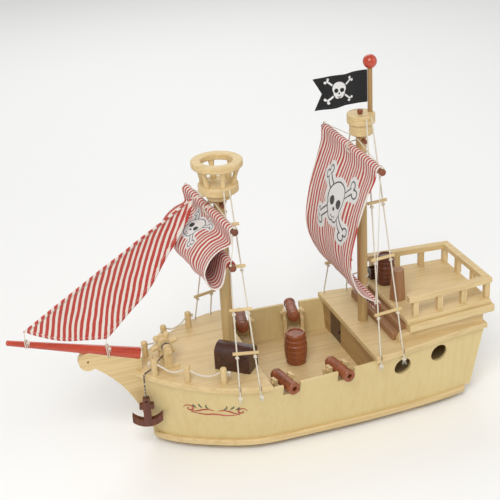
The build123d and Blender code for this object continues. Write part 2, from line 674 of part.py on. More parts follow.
def cannon_carriage():
    """Block with two stepped cheeks that hold the trunnion."""
    foot = WAIST_Z - CANNON_Z
    base = block(-13.5, 13.5, 0, 18, foot, foot + 16)
    for side in (-1, 1):
        x0, x1 = sorted((side * 9.4, side * 13.5))
        base += block(x0, x1, -4, 12, foot + 14, -4) + block(x0, x1, -4, 5, -4, 4.5)
    return base - cannon_trunnion()


# ---- loose deck gear ---------------------------------------------------------------
def barrel(x, y, z, r, height):
    """Bellied barrel with turned hoops."""
    ends = r * 0.82
    profile = [(0, 0), (ends - 1, 0), (ends, 1)]
    hoops = 6
    for k in range(hoops):
        mid = (k + 0.5) / hoops
        here = ends + (r - ends) * sin(pi * mid)
        low = 1 + (height - 2) * k / hoops
        high = 1 + (height - 2) * (k + 1) / hoops
        profile += [(here - 0.35, low + 0.4), (here, low + 1), (here, high - 1),
                    (here - 0.35, high - 0.4)]
    profile += [(ends, height - 1), (ends - 1, height), (ends - 2.4, height),
                (ends - 2.4, height - 1.4), (0, height - 1.4)]
    return turned(profile, (x, y, z))


def bollard():
    """Tapered eight-sided block that stands on the poop."""
    low = Rot(0, 0, 22.5) * RegularPolygon(11.0, 8)
    high = Pos(0, 0, 42) * (Rot(0, 0, 22.5) * RegularPolygon(8.6, 8))
    post = loft([low.face(), high.face()], ruled=True)
    return Pos(127, -14, POOP_Z) * Rot(0, 0, 20) * fillet(post.edges().group_by(Axis.Z)[-1], 0.8)


def crate():
    """Small slatted crate beside the dark barrel."""
    x0, x1, y0, y1, z0 = 117.0, 131.0, 47.5, 59.0, POOP_Z
    box = block(x0, x1, y0, y1, z0, z0 + 15) - block(x0 + 2, x1 - 2, y0 + 2, y1 - 2, z0 + 2, z0 + 16)
    for k in range(1, 4):
        z = z0 + 15 * k / 4
        box -= block(x0 - 1, x1 + 1, y0 - 1, y0 + 0.6, z - 0.5, z + 0.5)
        box -= block(x0 - 1, x0 + 0.6, y0 - 1, y1 + 1, z - 0.5, z + 0.5)
        box -= block(x0 - 1, x1 + 1, y1 - 0.6, y1 + 1, z - 0.5, z + 0.5)
    return box


# ---- build every node --------------------------------------------------------------
def build_nodes():
    """All nodes by name, before the seats are cut."""
    outer, cavity = hull_block(0), hull_block(PLY)
    waist = block(-260, 260, -120, 120, WAIST_Z - 4, WAIST_Z) & cavity
    nodes = {
        "foot_battens": foot_battens(),
        "base_board": base_board(),
        "hull_side_port": hull_side(-1, outer, cavity),
        "hull_side_starboard": hull_side(1, outer, cavity),
        "stem_beak": stem_beak(),
        "transom": transom(),
        "waist_deck": waist - door_opening(),
        "fore_bulkhead": bulkhead(FOREDECK_AFT_X - BULKHEAD_T - 3, cavity),
        "cabin_bulkhead": bulkhead(CABIN_X, cavity) - door_opening(),
        "cabin_door": cabin_door(),
        "foredeck": deck_board(-300, FOREDECK_AFT_X),
        "quarterdeck": deck_board(QUARTERDECK_FORE_X, 300),
        "poop_cheeks": poop_cheeks(),
        "poop_band": poop_band(),
        "poop_deck": poop_deck(),
        "stairs": stairs(),
        "poop_rail": poop_rail(),
        "poop_rail_posts": poop_rail_posts(),
        "foremast": mast(FOREMAST),
        "mainmast": mast(MAINMAST),
        "nest_floor": nest_floor(),
        "nest_balusters": nest_balusters(),
        "nest_ring": nest_ring(),
        "main_top": main_top(),
        "mast_pegs": mast_pegs(),
        "flagpole": flagpole(),
        "pole_ball": Pos(96, 0, 451.5) * Sphere(8.5),
        "flag": flag(),
        "fore_upper_yard": yard(FOREMAST, FORE_UPPER_YARD),
        "fore_lower_yard": yard(FOREMAST, FORE_LOWER_YARD),
        "main_upper_yard": yard(MAINMAST, MAIN_UPPER_YARD),
        "main_lower_yard": yard(MAINMAST, MAIN_LOWER_YARD),
        "foresail": bellied_sail(FORESAIL, FORESAIL_HALF, FORE_UPPER_YARD["slew"]),
        "mainsail": bellied_sail(MAINSAIL, MAINSAIL_HALF, 0),
        "jib": jib(),
        "bowsprit": bowsprit(),
        "shroud_cords": gather(shroud_cords(FORE_SHROUDS) + shroud_cords(MAIN_SHROUDS)),
        "shroud_rungs": gather(rungs(FORE_SHROUDS, FORE_RUNG_Z) + rungs(MAIN_SHROUDS, MAIN_RUNG_Z)),
        "shroud_knots": knots(),
        "running_cords": gather(yard_cords() + jib_cords()),
        "foredeck_posts": foredeck_posts(),
        "deck_ropes": gather([deck_rope(side) for side in SIDES.values()]),
        "windlass_posts": windlass_posts(),
        "windlass_drum": windlass_drum(),
        "anchor_cord_coil": cord_coil(),
        "anchor_cord": anchor_cord(),
        "anchor_fall": anchor_fall(),
        "anchor": anchor(),
        "chest_body": chest_body(),
        "chest_lid": chest_lid(),
        "cannon_carriages": gather([at_gunport(x, side, cannon_carriage())
                                    for x in GUNPORT_X for side in SIDES.values()]),
        "cannon_trunnions": gather([at_gunport(x, side, cannon_trunnion())
                                    for x in GUNPORT_X for side in SIDES.values()]),
        "waist_barrel": barrel(-6, 12, WAIST_Z, 15, 44),
        "poop_barrel": barrel(131, 32, POOP_Z, 12.5, 42),
        "bollard": bollard(),
        "crate": crate(),
    }
    for name, side in SIDES.items():
        for place, x in zip(("fore", "aft"), GUNPORT_X):
            nodes[f"cannon_{place}_{name}"] = at_gunport(x, side, cannon_barrel())
    return nodes


# A host on the left gets a snug hole, slot or socket for each piece on the right
SEATS = {
    "foredeck": ("stem_beak", "foremast", "foredeck_posts"),
    "quarterdeck": ("mainmast",),
    "waist_deck": ("stem_beak", "foremast", "mainmast"),
    "fore_bulkhead": ("foremast",),
    "stem_beak": ("bowsprit",),
    "nest_floor": ("foremast", "nest_balusters"),
    "nest_ring": ("nest_balusters",),
    "main_top": ("mainmast", "flagpole", "mast_pegs"),
    "mainmast": ("mast_pegs",),
    "foremast": ("mast_pegs",),
    "pole_ball": ("flagpole",),
    "shroud_rungs": ("shroud_cords",),
    "shroud_knots": ("shroud_cords",),
    "foredeck_posts": ("deck_ropes",),
    "foresail": ("fore_upper_yard", "fore_lower_yard"),
    "mainsail": ("main_upper_yard", "main_lower_yard"),
    "flag": ("flagpole",),
    "running_cords": ("foremast", "mainmast", "bowsprit", "jib", "foresail", "mainsail",
                      "fore_upper_yard", "fore_lower_yard", "main_upper_yard", "main_lower_yard"),
}
GROOVES = {"foredeck": side_grooves(FORE_SHROUDS) + [Pos(-213, -20, DECK_Z + 3) * Box(2.4, 6, 12)],
           "quarterdeck": side_grooves(MAIN_SHROUDS)}


def main():
    """Cuts the seats and writes one STEP file for each node."""
    nodes = build_nodes()
    for host, cuts in GROOVES.items():
        nodes[host] = nodes[host] - cuts
    for host, pegs in SEATS.items():
        for peg in pegs:
            nodes[host] = nodes[host] - nodes[peg]
    os.makedirs("parts", exist_ok=True)
    for name, shape in nodes.items():
        export_step(shape, f"parts/{name}.step")


main()
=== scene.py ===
"""Looks of a two-masted wooden toy sailing ship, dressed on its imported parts."""

from __future__ import annotations

import logging
import math
import random
from dataclasses import dataclass, field
from enum import Enum
from typing import Any, Callable, Iterable, Sequence

import bmesh
import bpy
from mathutils import Matrix, Vector
from mathutils.bvhtree import BVHTree

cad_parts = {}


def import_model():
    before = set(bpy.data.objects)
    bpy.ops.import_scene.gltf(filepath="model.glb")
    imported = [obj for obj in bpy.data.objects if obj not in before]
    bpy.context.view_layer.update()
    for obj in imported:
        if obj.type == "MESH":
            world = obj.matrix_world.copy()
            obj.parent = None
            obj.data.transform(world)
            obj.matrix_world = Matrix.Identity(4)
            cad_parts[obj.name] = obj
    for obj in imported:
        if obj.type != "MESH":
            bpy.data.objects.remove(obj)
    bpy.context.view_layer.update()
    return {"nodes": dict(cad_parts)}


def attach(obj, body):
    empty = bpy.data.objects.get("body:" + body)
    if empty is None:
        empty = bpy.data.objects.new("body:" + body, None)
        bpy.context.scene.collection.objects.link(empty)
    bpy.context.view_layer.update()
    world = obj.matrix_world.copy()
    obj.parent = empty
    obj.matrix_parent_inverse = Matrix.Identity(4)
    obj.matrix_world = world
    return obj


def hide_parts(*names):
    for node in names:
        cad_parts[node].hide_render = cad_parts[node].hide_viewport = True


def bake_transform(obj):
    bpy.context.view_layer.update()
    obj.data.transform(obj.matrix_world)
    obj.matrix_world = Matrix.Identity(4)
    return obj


LOG = logging.getLogger("toy_ship")
MM = 0.001
CALICO = (0.80, 0.73, 0.66)
STRIPE_RED = (0.47, 0.035, 0.024)
Colour = tuple[float, float, float]
Point = tuple[float, float, float]
Flat = tuple[float, float]


# ---- shader maths --------------------------------------------------------------------
class Sock:
    """A number, colour or vector in a material, which takes plain arithmetic."""

    def __init__(self, graph: "Graph", socket: bpy.types.NodeSocket) -> None:
        """Wraps an output socket of a graph."""
        self.graph, self.socket = graph, socket

    def __add__(self, other: "Number") -> "Sock":
        """Sum."""
        return self.graph.maths("ADD", self, other)

    def __sub__(self, other: "Number") -> "Sock":
        """Difference."""
        return self.graph.maths("SUBTRACT", self, other)

    def __rsub__(self, other: "Number") -> "Sock":
        """Difference, the other way round."""
        return self.graph.maths("SUBTRACT", other, self)

    def __mul__(self, other: "Number") -> "Sock":
        """Product."""
        return self.graph.maths("MULTIPLY", self, other)

    __radd__ = __add__
    __rmul__ = __mul__

    def least(self, other: "Number") -> "Sock":
        """The smaller of the two."""
        return self.graph.maths("MINIMUM", self, other)

    def most(self, other: "Number") -> "Sock":
        """The larger of the two."""
        return self.graph.maths("MAXIMUM", self, other)

    def size(self) -> "Sock":
        """The number without its sign."""
        return self.graph.maths("ABSOLUTE", self)

    def step(self, low: float, high: float) -> "Sock":
        """0 below low, 1 above high, and a soft ramp between them; low may be the larger."""
        return self.graph.ask("ShaderNodeMapRange", {"interpolation_type": "SMOOTHSTEP"},
                              {"Value": self, "From Min": low, "From Max": high}, "Result")


Number = Sock | float


class Graph:
    """The node tree of one material while it is made."""

    def __init__(self, name: str) -> None:
        """Starts an empty material of that name."""
        self.material = bpy.data.materials.new(name)
        self.material.use_nodes = True
        self.tree = self.material.node_tree
        self.tree.nodes.clear()

    def node(self, kind: str, settings: dict[str, Any], values: dict[Any, Any]) -> bpy.types.Node:
        """Adds a node.

        Args:
            kind: The node's type.
            settings: What is set on the node first.
            values: A number, colour or link for each socket, by name or place.

        Returns:
            The node.
        """
        made = self.tree.nodes.new(kind)
        for key, value in settings.items():
            setattr(made, key, value)
        for key, value in values.items():
            if isinstance(value, Sock):
                self.tree.links.new(value.socket, made.inputs[key])
            elif isinstance(value, tuple) and made.inputs[key].type == "RGBA":
                made.inputs[key].default_value = (*value, 1.0)
            else:
                made.inputs[key].default_value = value
        return made

    def ask(self, kind: str, settings: dict[str, Any], values: dict[Any, Any],
            output: str | int) -> Sock:
        """Adds a node and gives one of its outputs."""
        return Sock(self, self.node(kind, settings, values).outputs[output])

    def maths(self, operation: str, *values: Number) -> Sock:
        """One Math node on numbers."""
        return self.ask("ShaderNodeMath", {"operation": operation}, dict(enumerate(values)), 0)

    def vector(self, operation: str, values: dict[Any, Any], output: str = "Vector") -> Sock:
        """One Vector Math node."""
        return self.ask("ShaderNodeVectorMath", {"operation": operation}, values, output)

    def mix(self, share: Number, first: "Sock | Colour", second: "Sock | Colour") -> Sock:
        """A colour between two others."""
        return self.ask("ShaderNodeMix", {"data_type": "RGBA"}, {0: share, 6: first, 7: second}, 2)

    def place(self) -> Sock:
        """Where a point is on the piece, in metres."""
        return self.ask("ShaderNodeTexCoord", {}, {}, "Object")

    def noise(self, where: Sock, scale: float, detail: float = 3.0, rough: float = 0.55,
              bend: float = 0.0) -> Sock:
        """Smooth random values round 0.5."""
        return self.ask("ShaderNodeTexNoise", {}, {"Vector": where, "Scale": scale, "Detail": detail,
                        "Roughness": rough, "Distortion": bend}, "Fac")

    def edge_highlight_mask(self, radius: float) -> Sock:
        """1 on a rounded-over edge and 0 on flat faces, where a painted highlight goes."""
        soft = self.ask("ShaderNodeBevel", {"samples": 4}, {"Radius": radius}, "Normal")
        flat = self.ask("ShaderNodeNewGeometry", {}, {}, "Normal")
        return self.vector("DOT_PRODUCT", {0: soft, 1: flat}, "Value").step(0.999, 0.93)

    def surface(self, colour: Sock, roughness: Sock, height: Sock, relief: float,
                fixed: dict[str, Any]) -> bpy.types.Material:
        """Ends the material in a Principled shader.

        Args:
            colour: The base colour.
            roughness: How matt it is.
            height: Bump height from 0 to 1.
            relief: Depth of that bump in metres.
            fixed: Sockets that are the same all over.

        Returns:
            The material.
        """
        bump = self.ask("ShaderNodeBump", {}, {"Height": height, "Distance": relief,
                        "Strength": 0.8}, "Normal")
        shader = self.ask("ShaderNodeBsdfPrincipled", {}, {"Base Color": colour,
                          "Roughness": roughness, "Normal": bump, **fixed}, "BSDF")
        self.node("ShaderNodeOutputMaterial", {}, {"Surface": shader})
        return self.material


# ---- finishes ------------------------------------------------------------------------
class Grain(Enum):
    """Which way the wood's fibres run, as the stretch on each axis."""

    LENGTHWAYS = (0.05, 1.0, 1.0)
    ATHWART = (1.0, 0.05, 1.0)
    UPRIGHT = (1.0, 1.0, 0.05)


@dataclass(frozen=True)
class Wood:
    """A wood with growth rings, fibres, pores and rounded edges with a painted highlight."""

    name: str
    pale: Colour
    dark: Colour
    # paler colour painted on rounded edges: a painted highlight
    edge: Colour
    roughness: float = 0.5
    rings: float = 150.0
    ring_share: float = 0.55
    fibre_share: float = 0.35
    coat: float = 0.0
    relief: float = 0.0002

    def made(self, grain: Grain) -> bpy.types.Material:
        """The finish with its fibres along one axis."""
        g = Graph(f"{self.name}_{grain.name.lower()}")
        along = g.vector("MULTIPLY", {0: g.place(), 1: grain.value})
        boards = g.noise(along, 14.0, 2.0)
        bands = g.noise(along, self.rings, 2.0, 0.4, 1.2)
        rings = bands.step(0.42, 0.62)
        fibres = g.noise(along, 1500.0, 4.0, 0.7)
        pores = g.noise(along, 2600.0, 2.0, 0.8).step(0.66, 0.74)
        smudge = g.noise(g.place(), 45.0, 4.0)
        tone = g.mix(rings * self.ring_share + (boards - 0.5) * 0.6, self.pale, self.dark)
        tone = g.mix((fibres - 0.35) * self.fibre_share, tone, self.dark)
        tone = g.mix(pores * 0.35, tone, tuple(c * 0.55 for c in self.dark))
        tone = g.mix(smudge.step(0.6, 0.75) * 0.12, tone, self.dark)
        # painted highlight: rounded edges mixed towards the paler edge colour
        tone = g.mix(g.edge_highlight_mask(0.0009) * 0.7, tone, self.edge)
        matt = fibres * 0.2 + smudge * 0.12 + (self.roughness - 0.15)
        return g.surface(tone, matt, fibres * 0.7 - pores * 0.5 + rings * 0.2, self.relief,
                         {"Coat Weight": self.coat, "Coat Roughness": 0.2, "IOR": 1.45})


@dataclass(frozen=True)
class Lacquer:
    """Gloss paint on a shaved stick, with brush lines, paint chips and a painted highlight on its
    arrises.
    """

    name: str
    paint: Colour
    deep: Colour
    # paler colour for paint chips and for a painted highlight on arrises
    chip_and_highlight: Colour

    def made(self, grain: Grain) -> bpy.types.Material:
        """The finish with its brush lines along one axis."""
        g = Graph(self.name)
        along = g.vector("MULTIPLY", {0: g.place(), 1: grain.value})
        brush = g.noise(along, 420.0, 3.0, 0.6)
        flats = g.noise(along, 110.0, 1.0)
        chips = g.noise(g.place(), 260.0, 3.0).step(0.66, 0.72)
        tone = g.mix(flats.step(0.3, 0.7) * 0.55 + brush * 0.2, self.paint, self.deep)
        # painted highlight on arrises, plus real paint chips, in the paler colour
        tone = g.mix(g.edge_highlight_mask(0.001) * 0.5 + chips * 0.25, tone, self.chip_and_highlight)
        return g.surface(tone, brush * 0.18 + 0.16, flats * 0.8 + brush * 0.2, 0.0004,
                         {"Coat Weight": 0.6, "Coat Roughness": 0.12})


@dataclass(frozen=True)
class Twine:
    """Spun cord, paler where the strands stand up, with stray fibres and flecks."""

    name: str
    pale: Colour
    dark: Colour
    fleck: Colour
    flecks: float

    def made(self) -> bpy.types.Material:
        """The finish."""
        g = Graph(self.name)
        fibres = g.noise(g.place(), 2600.0, 3.0, 0.7)
        stains = g.noise(g.place(), 60.0, 3.0)
        tone = g.mix(fibres.step(0.3, 0.7) * 0.6 + stains * 0.25, self.pale, self.dark)
        spots = g.noise(g.place(), 480.0, 1.0).step(0.58, 0.64)
        tone = g.mix(spots * self.flecks, tone, self.fleck)
        return g.surface(tone, fibres * 0.15 + 0.75, fibres, 0.0002,
                         {"Sheen Weight": 0.3, "Sheen Roughness": 0.6})


@dataclass(frozen=True)
class Emblem:
    """A plain skull over crossed bones, sewn or printed on cloth."""

    centre: Flat
    size: float

    def shapes(self, g: Graph, cloth: Sock) -> tuple[Sock, Sock]:
        """Distances on the cloth from the emblem.

        Args:
            g: The material's graph.
            cloth: The cloth's own map, in metres.

        Returns:
            The distance from the outline, in emblem sizes, and from the eyes, nose and teeth.
        """
        moved = g.vector("SUBTRACT", {0: cloth, 1: (*self.centre, 0.0)})
        own = g.vector("SCALE", {0: moved, "Scale": 1.0 / self.size})
        folded = g.vector("ABSOLUTE", {0: own})
        half = g.ask("ShaderNodeSeparateXYZ", {}, {0: folded}, 0)
        rise = g.ask("ShaderNodeSeparateXYZ", {}, {0: own}, 1)
        face = g.ask("ShaderNodeCombineXYZ", {}, {0: half, 1: rise}, 0)

        def disc(where: Sock, x: float, y: float, r: float) -> Sock:
            """Distance from a round spot."""
            return g.vector("DISTANCE", {0: where, 1: (x, y, 0.0)}, "Value") - r

        arm = (0.40, 0.33)
        reach = g.vector("DOT_PRODUCT", {0: folded, 1: (*arm, 0.0)}, "Value")
        share = (reach * (1.0 / (arm[0] ** 2 + arm[1] ** 2))).most(0.0).least(1.0)
        nearest = g.vector("SCALE", {0: (*arm, 0.0), "Scale": share})
        bone = g.vector("DISTANCE", {0: folded, 1: nearest}, "Value") - 0.045
        ends = disc(folded, 0.47, 0.30, 0.062).least(disc(folded, 0.38, 0.40, 0.062))
        skull = disc(face, 0.0, 0.06, 0.25).least(disc(face, 0.06, -0.17, 0.12))
        skull = skull.least(disc(face, 0.09, -0.10, 0.13))
        behind = bone.least(ends).most(0.0 - skull - 0.02)
        outline = skull.least(bone.least(ends))
        seams = skull.size().least(behind.size().most(0.0 - skull))
        eyes = disc(face, 0.105, 0.0, 0.072).least(disc(face, 0.0, -0.105, 0.03))
        teeth = disc(face, 0.045, -0.22, 0.016).least(disc(face, 0.0, -0.23, 0.014))
        return outline, (seams - 0.011).least(eyes.least(teeth))


@dataclass(frozen=True)
class Cotton:
    """Woven cotton with printed stripes and, where it has one, an emblem patch."""

    name: str
    ground: Colour
    stripe: Colour
    pitch: float
    share: float = 0.46
    emblem: Emblem | None = None
    ink: Colour = (0.012, 0.011, 0.012)
    patch: Colour = (0.76, 0.75, 0.74)
    lined: bool = True
    sheen: float = 0.1

    def made(self) -> bpy.types.Material:
        """The finish, which follows the cloth's own map."""
        g = Graph(self.name)
        cloth = g.ask("ShaderNodeUVMap", {"uv_map": "cloth"}, {}, "UV")
        across = g.ask("ShaderNodeSeparateXYZ", {}, {0: cloth}, 0)
        down = g.ask("ShaderNodeSeparateXYZ", {}, {0: cloth}, 1)
        sway = g.noise(g.place(), 34.0, 3.0) - 0.5
        turn = g.maths("FRACT", (across + sway * 0.0034) * (1.0 / self.pitch))
        edge = (turn - 0.5).size()
        printed = edge.step(self.share / 2 + 0.05, self.share / 2 - 0.05)
        threads = (g.maths("SINE", across * (math.tau / 0.0011))
                   * g.maths("SINE", down * (math.tau / 0.0011)))
        slubs = g.noise(g.place(), 700.0, 4.0, 0.7)
        # crease noise: bump relief, and painted shade in the creases
        crease_relief_and_shade = g.noise(g.place(), 55.0, 4.0, 0.6)
        tone = g.mix(printed, self.ground, self.stripe)
        raised = threads * 0.3 + slubs * 0.4 + crease_relief_and_shade * 0.5
        if self.emblem:
            outline, marks = self.emblem.shapes(g, cloth)
            if self.lined:
                sewn = outline.step(0.085, 0.065)
                tone = g.mix(sewn, tone, self.patch)
                tone = g.mix(marks.step(0.004, -0.004), tone, self.ink)
                raised = raised + sewn * 0.5
            else:
                shown = outline.step(0.01, -0.01) * marks.step(-0.004, 0.012)
                tone = g.mix(shown, tone, self.patch)
        tone = g.mix((slubs - 0.4) * 0.35, tone, tuple(c * 0.7 for c in self.ground))
        # painted shade: cloth darkened where the crease noise is high
        tone = g.mix(crease_relief_and_shade.step(0.55, 0.8) * 0.12, tone, tuple(c * 0.5 for c in self.ground))
        return g.surface(tone, slubs * 0.12 + 0.8, raised, 0.0004,
                         {"Sheen Weight": self.sheen, "Sheen Roughness": 0.5})


class FinishShelf:
    """Every finish of the ship, each made once and then shared."""

    # Each wood's third colour is a painted highlight on its rounded edges.
    PINE = Wood("pine", (0.70, 0.535, 0.275), (0.52, 0.355, 0.155), (0.78, 0.62, 0.36), 0.46,
                ring_share=0.4)
    PLY = Wood("birch_ply", (0.70, 0.56, 0.275), (0.59, 0.42, 0.17), (0.76, 0.62, 0.34), 0.42,
               rings=120.0, ring_share=0.2, fibre_share=0.35)
    OAK = Wood("oak", (0.46, 0.30, 0.125), (0.31, 0.18, 0.068), (0.56, 0.39, 0.19), 0.5)
    MAST_PINE = Wood("mast_pine", (0.58, 0.41, 0.185), (0.43, 0.275, 0.105), (0.66, 0.49, 0.25), 0.48)
    WALNUT = Wood("walnut", (0.37, 0.195, 0.09), (0.22, 0.10, 0.045), (0.47, 0.28, 0.145), 0.48)
    DARK_WOOD = Wood("dark_wood", (0.065, 0.022, 0.013), (0.022, 0.008, 0.006),
                     (0.16, 0.07, 0.04), 0.36, coat=0.3)
    RED_STAIN = Wood("red_stain", (0.30, 0.083, 0.027), (0.13, 0.033, 0.013), (0.40, 0.14, 0.052),
                     0.4, coat=0.2)
    REDBROWN = Wood("red_brown_stain", (0.235, 0.058, 0.02), (0.10, 0.024, 0.011),
                    (0.34, 0.11, 0.045), 0.36, coat=0.3)
    ANCHOR_STAIN = Wood("anchor_stain", (0.15, 0.04, 0.018), (0.06, 0.018, 0.01),
                        (0.24, 0.08, 0.035), 0.4, coat=0.2)
    # A lacquer's third colour is for paint chips and a painted highlight on arrises.
    RED_PAINT = Lacquer("red_gloss", (0.53, 0.055, 0.014), (0.34, 0.024, 0.010), (0.72, 0.18, 0.07))
    CORD = Twine("cream_twine", (0.80, 0.75, 0.64), (0.55, 0.48, 0.36), (0.85, 0.82, 0.74), 0.2)
    BLACK_THREAD = Twine("black_thread", (0.012, 0.011, 0.012), (0.006, 0.006, 0.006),
                         (0.02, 0.02, 0.02), 0.8)
    DARK_CORD = Twine("brown_twine", (0.07, 0.035, 0.022), (0.025, 0.013, 0.01),
                      (0.75, 0.70, 0.62), 0.85)

    def __init__(self) -> None:
        """Starts with nothing made."""
        self.made: dict[str, bpy.types.Material] = {}

    def take(self, finish: Any, grain: Grain | None = None) -> bpy.types.Material:
        """The material of a finish, made when it is first asked for."""
        key = f"{finish.name}:{grain}"
        if key not in self.made:
            self.made[key] = finish.made(grain) if grain else finish.made()
        return self.made[key]


# ---- mesh helpers --------------------------------------------------------------------
def metres(points: Iterable[Point]) -> list[Vector]:
    """Points given in millimetres, in metres."""
    return [Vector(p) * MM for p in points]


def solid(name: str, verts: Sequence[Vector], faces: Sequence[Sequence[int]],
          material: bpy.types.Material, uv: Sequence[Flat] | None = None) -> bpy.types.Object:
    """A mesh object at the origin.

    Args:
        name: The piece's name.
        verts: Its points, in metres.
        faces: Its faces, as point numbers.
        material: Its finish.
        uv: A place on the cloth for each point, in metres.

    Returns:
        The object.
    """
    mesh = bpy.data.meshes.new(name)
    mesh.from_pydata([tuple(v) for v in verts], [], [tuple(f) for f in faces])
    if uv:
        layer = mesh.uv_layers.new(name="cloth")
        for loop in mesh.loops:
            layer.data[loop.index].uv = uv[loop.vertex_index]
    mesh.materials.append(material)
    mesh.polygons.foreach_set("use_smooth", [True] * len(mesh.polygons))
    mesh.update()
    piece = bpy.data.objects.new(name, mesh)
    bpy.context.scene.collection.objects.link(piece)
    return piece


def outward(piece: bpy.types.Object) -> bpy.types.Object:
    """Merges a piece's doubles and turns its faces outwards."""
    work = bmesh.new()
    work.from_mesh(piece.data)
    bmesh.ops.remove_doubles(work, verts=work.verts, dist=1e-6)
    bmesh.ops.recalc_face_normals(work, faces=work.faces)
    work.to_mesh(piece.data)
    work.free()
    return piece


@dataclass
class Shell:
    """Points and faces gathered from several closed tubes."""

    verts: list[Vector] = field(default_factory=list)
    faces: list[tuple[int, ...]] = field(default_factory=list)

    def tube(self, line: Sequence[Vector], radius: Callable[[float], float], sides: int = 7,
             closed: bool = False) -> None:
        """Adds a round tube.

        Args:
            line: Its centreline.
            radius: Radius at each share of its length.
            sides: Faces round it.
            closed: Whether it runs back into its start.
        """
        base, count = len(self.verts), len(line)
        side = Vector((0, 0, 1))
        for k, p in enumerate(line):
            ahead = line[(k + 1) % count] if closed or k + 1 < count else p
            behind = line[k - 1] if closed or k else p
            way = (ahead - behind).normalized()
            if k == 0 and abs(way.dot(side)) > 0.9:
                side = Vector((1, 0, 0))
            side = (side - way * side.dot(way)).normalized()
            other = way.cross(side)
            r = radius(k / max(count - 1, 1))
            for s in range(sides):
                a = math.tau * s / sides
                self.verts.append(p + (side * math.cos(a) + other * math.sin(a)) * r)
        for k in range(count if closed else count - 1):
            for s in range(sides):
                a, b = base + k * sides, base + (k + 1) % count * sides
                t = (s + 1) % sides
                self.faces.append((a + s, a + t, b + t, b + s))
        if not closed:
            self.faces.append(tuple(base + s for s in reversed(range(sides))))
            self.faces.append(tuple(base + (count - 1) * sides + s for s in range(sides)))


def smooth_line(route: Sequence[Point], fine: int = 10) -> list[Vector]:
    """Points read from the smooth line that a route's points control.

    Args:
        route: The route, in millimetres.
        fine: Points for each stretch.

    Returns:
        Points along the line, in metres.
    """
    data = bpy.data.curves.new("route", "CURVE")
    data.dimensions, data.resolution_u = "3D", fine
    spline = data.splines.new("NURBS")
    spline.points.add(len(route) - 1)
    for point, p in zip(spline.points, metres(route)):
        point.co = (*p, 1.0)
    spline.order_u, spline.use_endpoint_u = 3, True
    holder = bpy.data.objects.new("route", data)
    mesh = bpy.data.meshes.new_from_object(holder)
    line = [v.co.copy() for v in mesh.vertices]
    bpy.data.objects.remove(holder)
    bpy.data.meshes.remove(mesh)
    return line


def run_length(line: Sequence[Vector]) -> float:
    """Length of a line of points."""
    return sum((b - a).length for a, b in zip(line, line[1:]))


def eased(stops: Sequence[Flat], count: int) -> list[Flat]:
    """Points on a curve through the stops, evenly shared between them."""
    ends = [stops[0], *stops, stops[-1]]
    out: list[Flat] = []
    for k in range(count + 1):
        at = k / count * (len(stops) - 1)
        i = min(int(at), len(stops) - 2)
        t = at - i
        a, b, c, d = (Vector(p) for p in ends[i:i + 4])
        p = 0.5 * ((2 * b) + (c - a) * t + (2 * a - 5 * b + 4 * c - d) * t ** 2
                   + (3 * b - a - 3 * c + d) * t ** 3)
        out.append((p.x, p.y))
    return out


# ---- node trees for what repeats along a line -----------------------------------------
class LineTree:
    """A geometry node tree that follows a line of edges."""

    def __init__(self, name: str, inputs: dict[str, str]) -> None:
        """Starts the tree with its named inputs.

        Args:
            name: The tree's name.
            inputs: Socket type of each named input.
        """
        self.tree = bpy.data.node_groups.new(name, "GeometryNodeTree")
        face = self.tree.interface
        face.new_socket(name="Line", in_out="INPUT", socket_type="NodeSocketGeometry")
        self.named = {key: face.new_socket(name=key, in_out="INPUT", socket_type=kind)
                      for key, kind in inputs.items()}
        face.new_socket(name="Piece", in_out="OUTPUT", socket_type="NodeSocketGeometry")
        self.given = self.tree.nodes.new("NodeGroupInput")

    def node(self, kind: str, settings: dict[str, Any], values: dict[Any, Any]) -> bpy.types.Node:
        """Adds a node, its settings first and then its values or links."""
        made = self.tree.nodes.new(kind)
        for key, value in settings.items():
            setattr(made, key, value)
        for key, value in values.items():
            if isinstance(value, bpy.types.NodeSocket):
                self.tree.links.new(value, made.inputs[key])
            else:
                made.inputs[key].default_value = value
        return made

    def maths(self, operation: str, *values: Any) -> bpy.types.NodeSocket:
        """One Math node on numbers."""
        return self.node("ShaderNodeMath", {"operation": operation},
                         dict(enumerate(values))).outputs[0]

    def end(self, geometry: bpy.types.NodeSocket) -> None:
        """Realizes the geometry, gives it the finish and ends the tree."""
        real = self.node("GeometryNodeRealizeInstances", {}, {"Geometry": geometry})
        dressed = self.node("GeometryNodeSetMaterial", {}, {
            "Geometry": real.outputs[0], "Material": self.given.outputs["Finish"]})
        self.node("NodeGroupOutput", {}, {"Piece": dressed.outputs[0]})

    def bake(self, name: str, lines: Sequence[Sequence[Vector]],
             values: dict[str, Any]) -> bpy.types.Object:
        """Runs the tree on lines and keeps the result as a plain mesh.

        Args:
            name: The piece's name.
            lines: The lines that it follows.
            values: A value for each named input.

        Returns:
            The piece, with no modifier.
        """
        verts = [tuple(p) for line in lines for p in line]
        edges, start = [], 0
        for line in lines:
            edges += [(start + k, start + k + 1) for k in range(len(line) - 1)]
            start += len(line)
        mesh = bpy.data.meshes.new(name)
        mesh.from_pydata(verts, edges, [])
        holder = bpy.data.objects.new(name, mesh)
        bpy.context.scene.collection.objects.link(holder)
        modifier = holder.modifiers.new("follow", "NODES")
        modifier.node_group = self.tree
        for key, value in values.items():
            modifier[self.named[key].identifier] = value
        graph = bpy.context.evaluated_depsgraph_get()
        result = bpy.data.meshes.new_from_object(holder.evaluated_get(graph))
        holder.modifiers.clear()
        holder.data = result
        bpy.data.meshes.remove(mesh)
        result.polygons.foreach_set("use_smooth", [True] * len(result.polygons))
        return outward(holder)


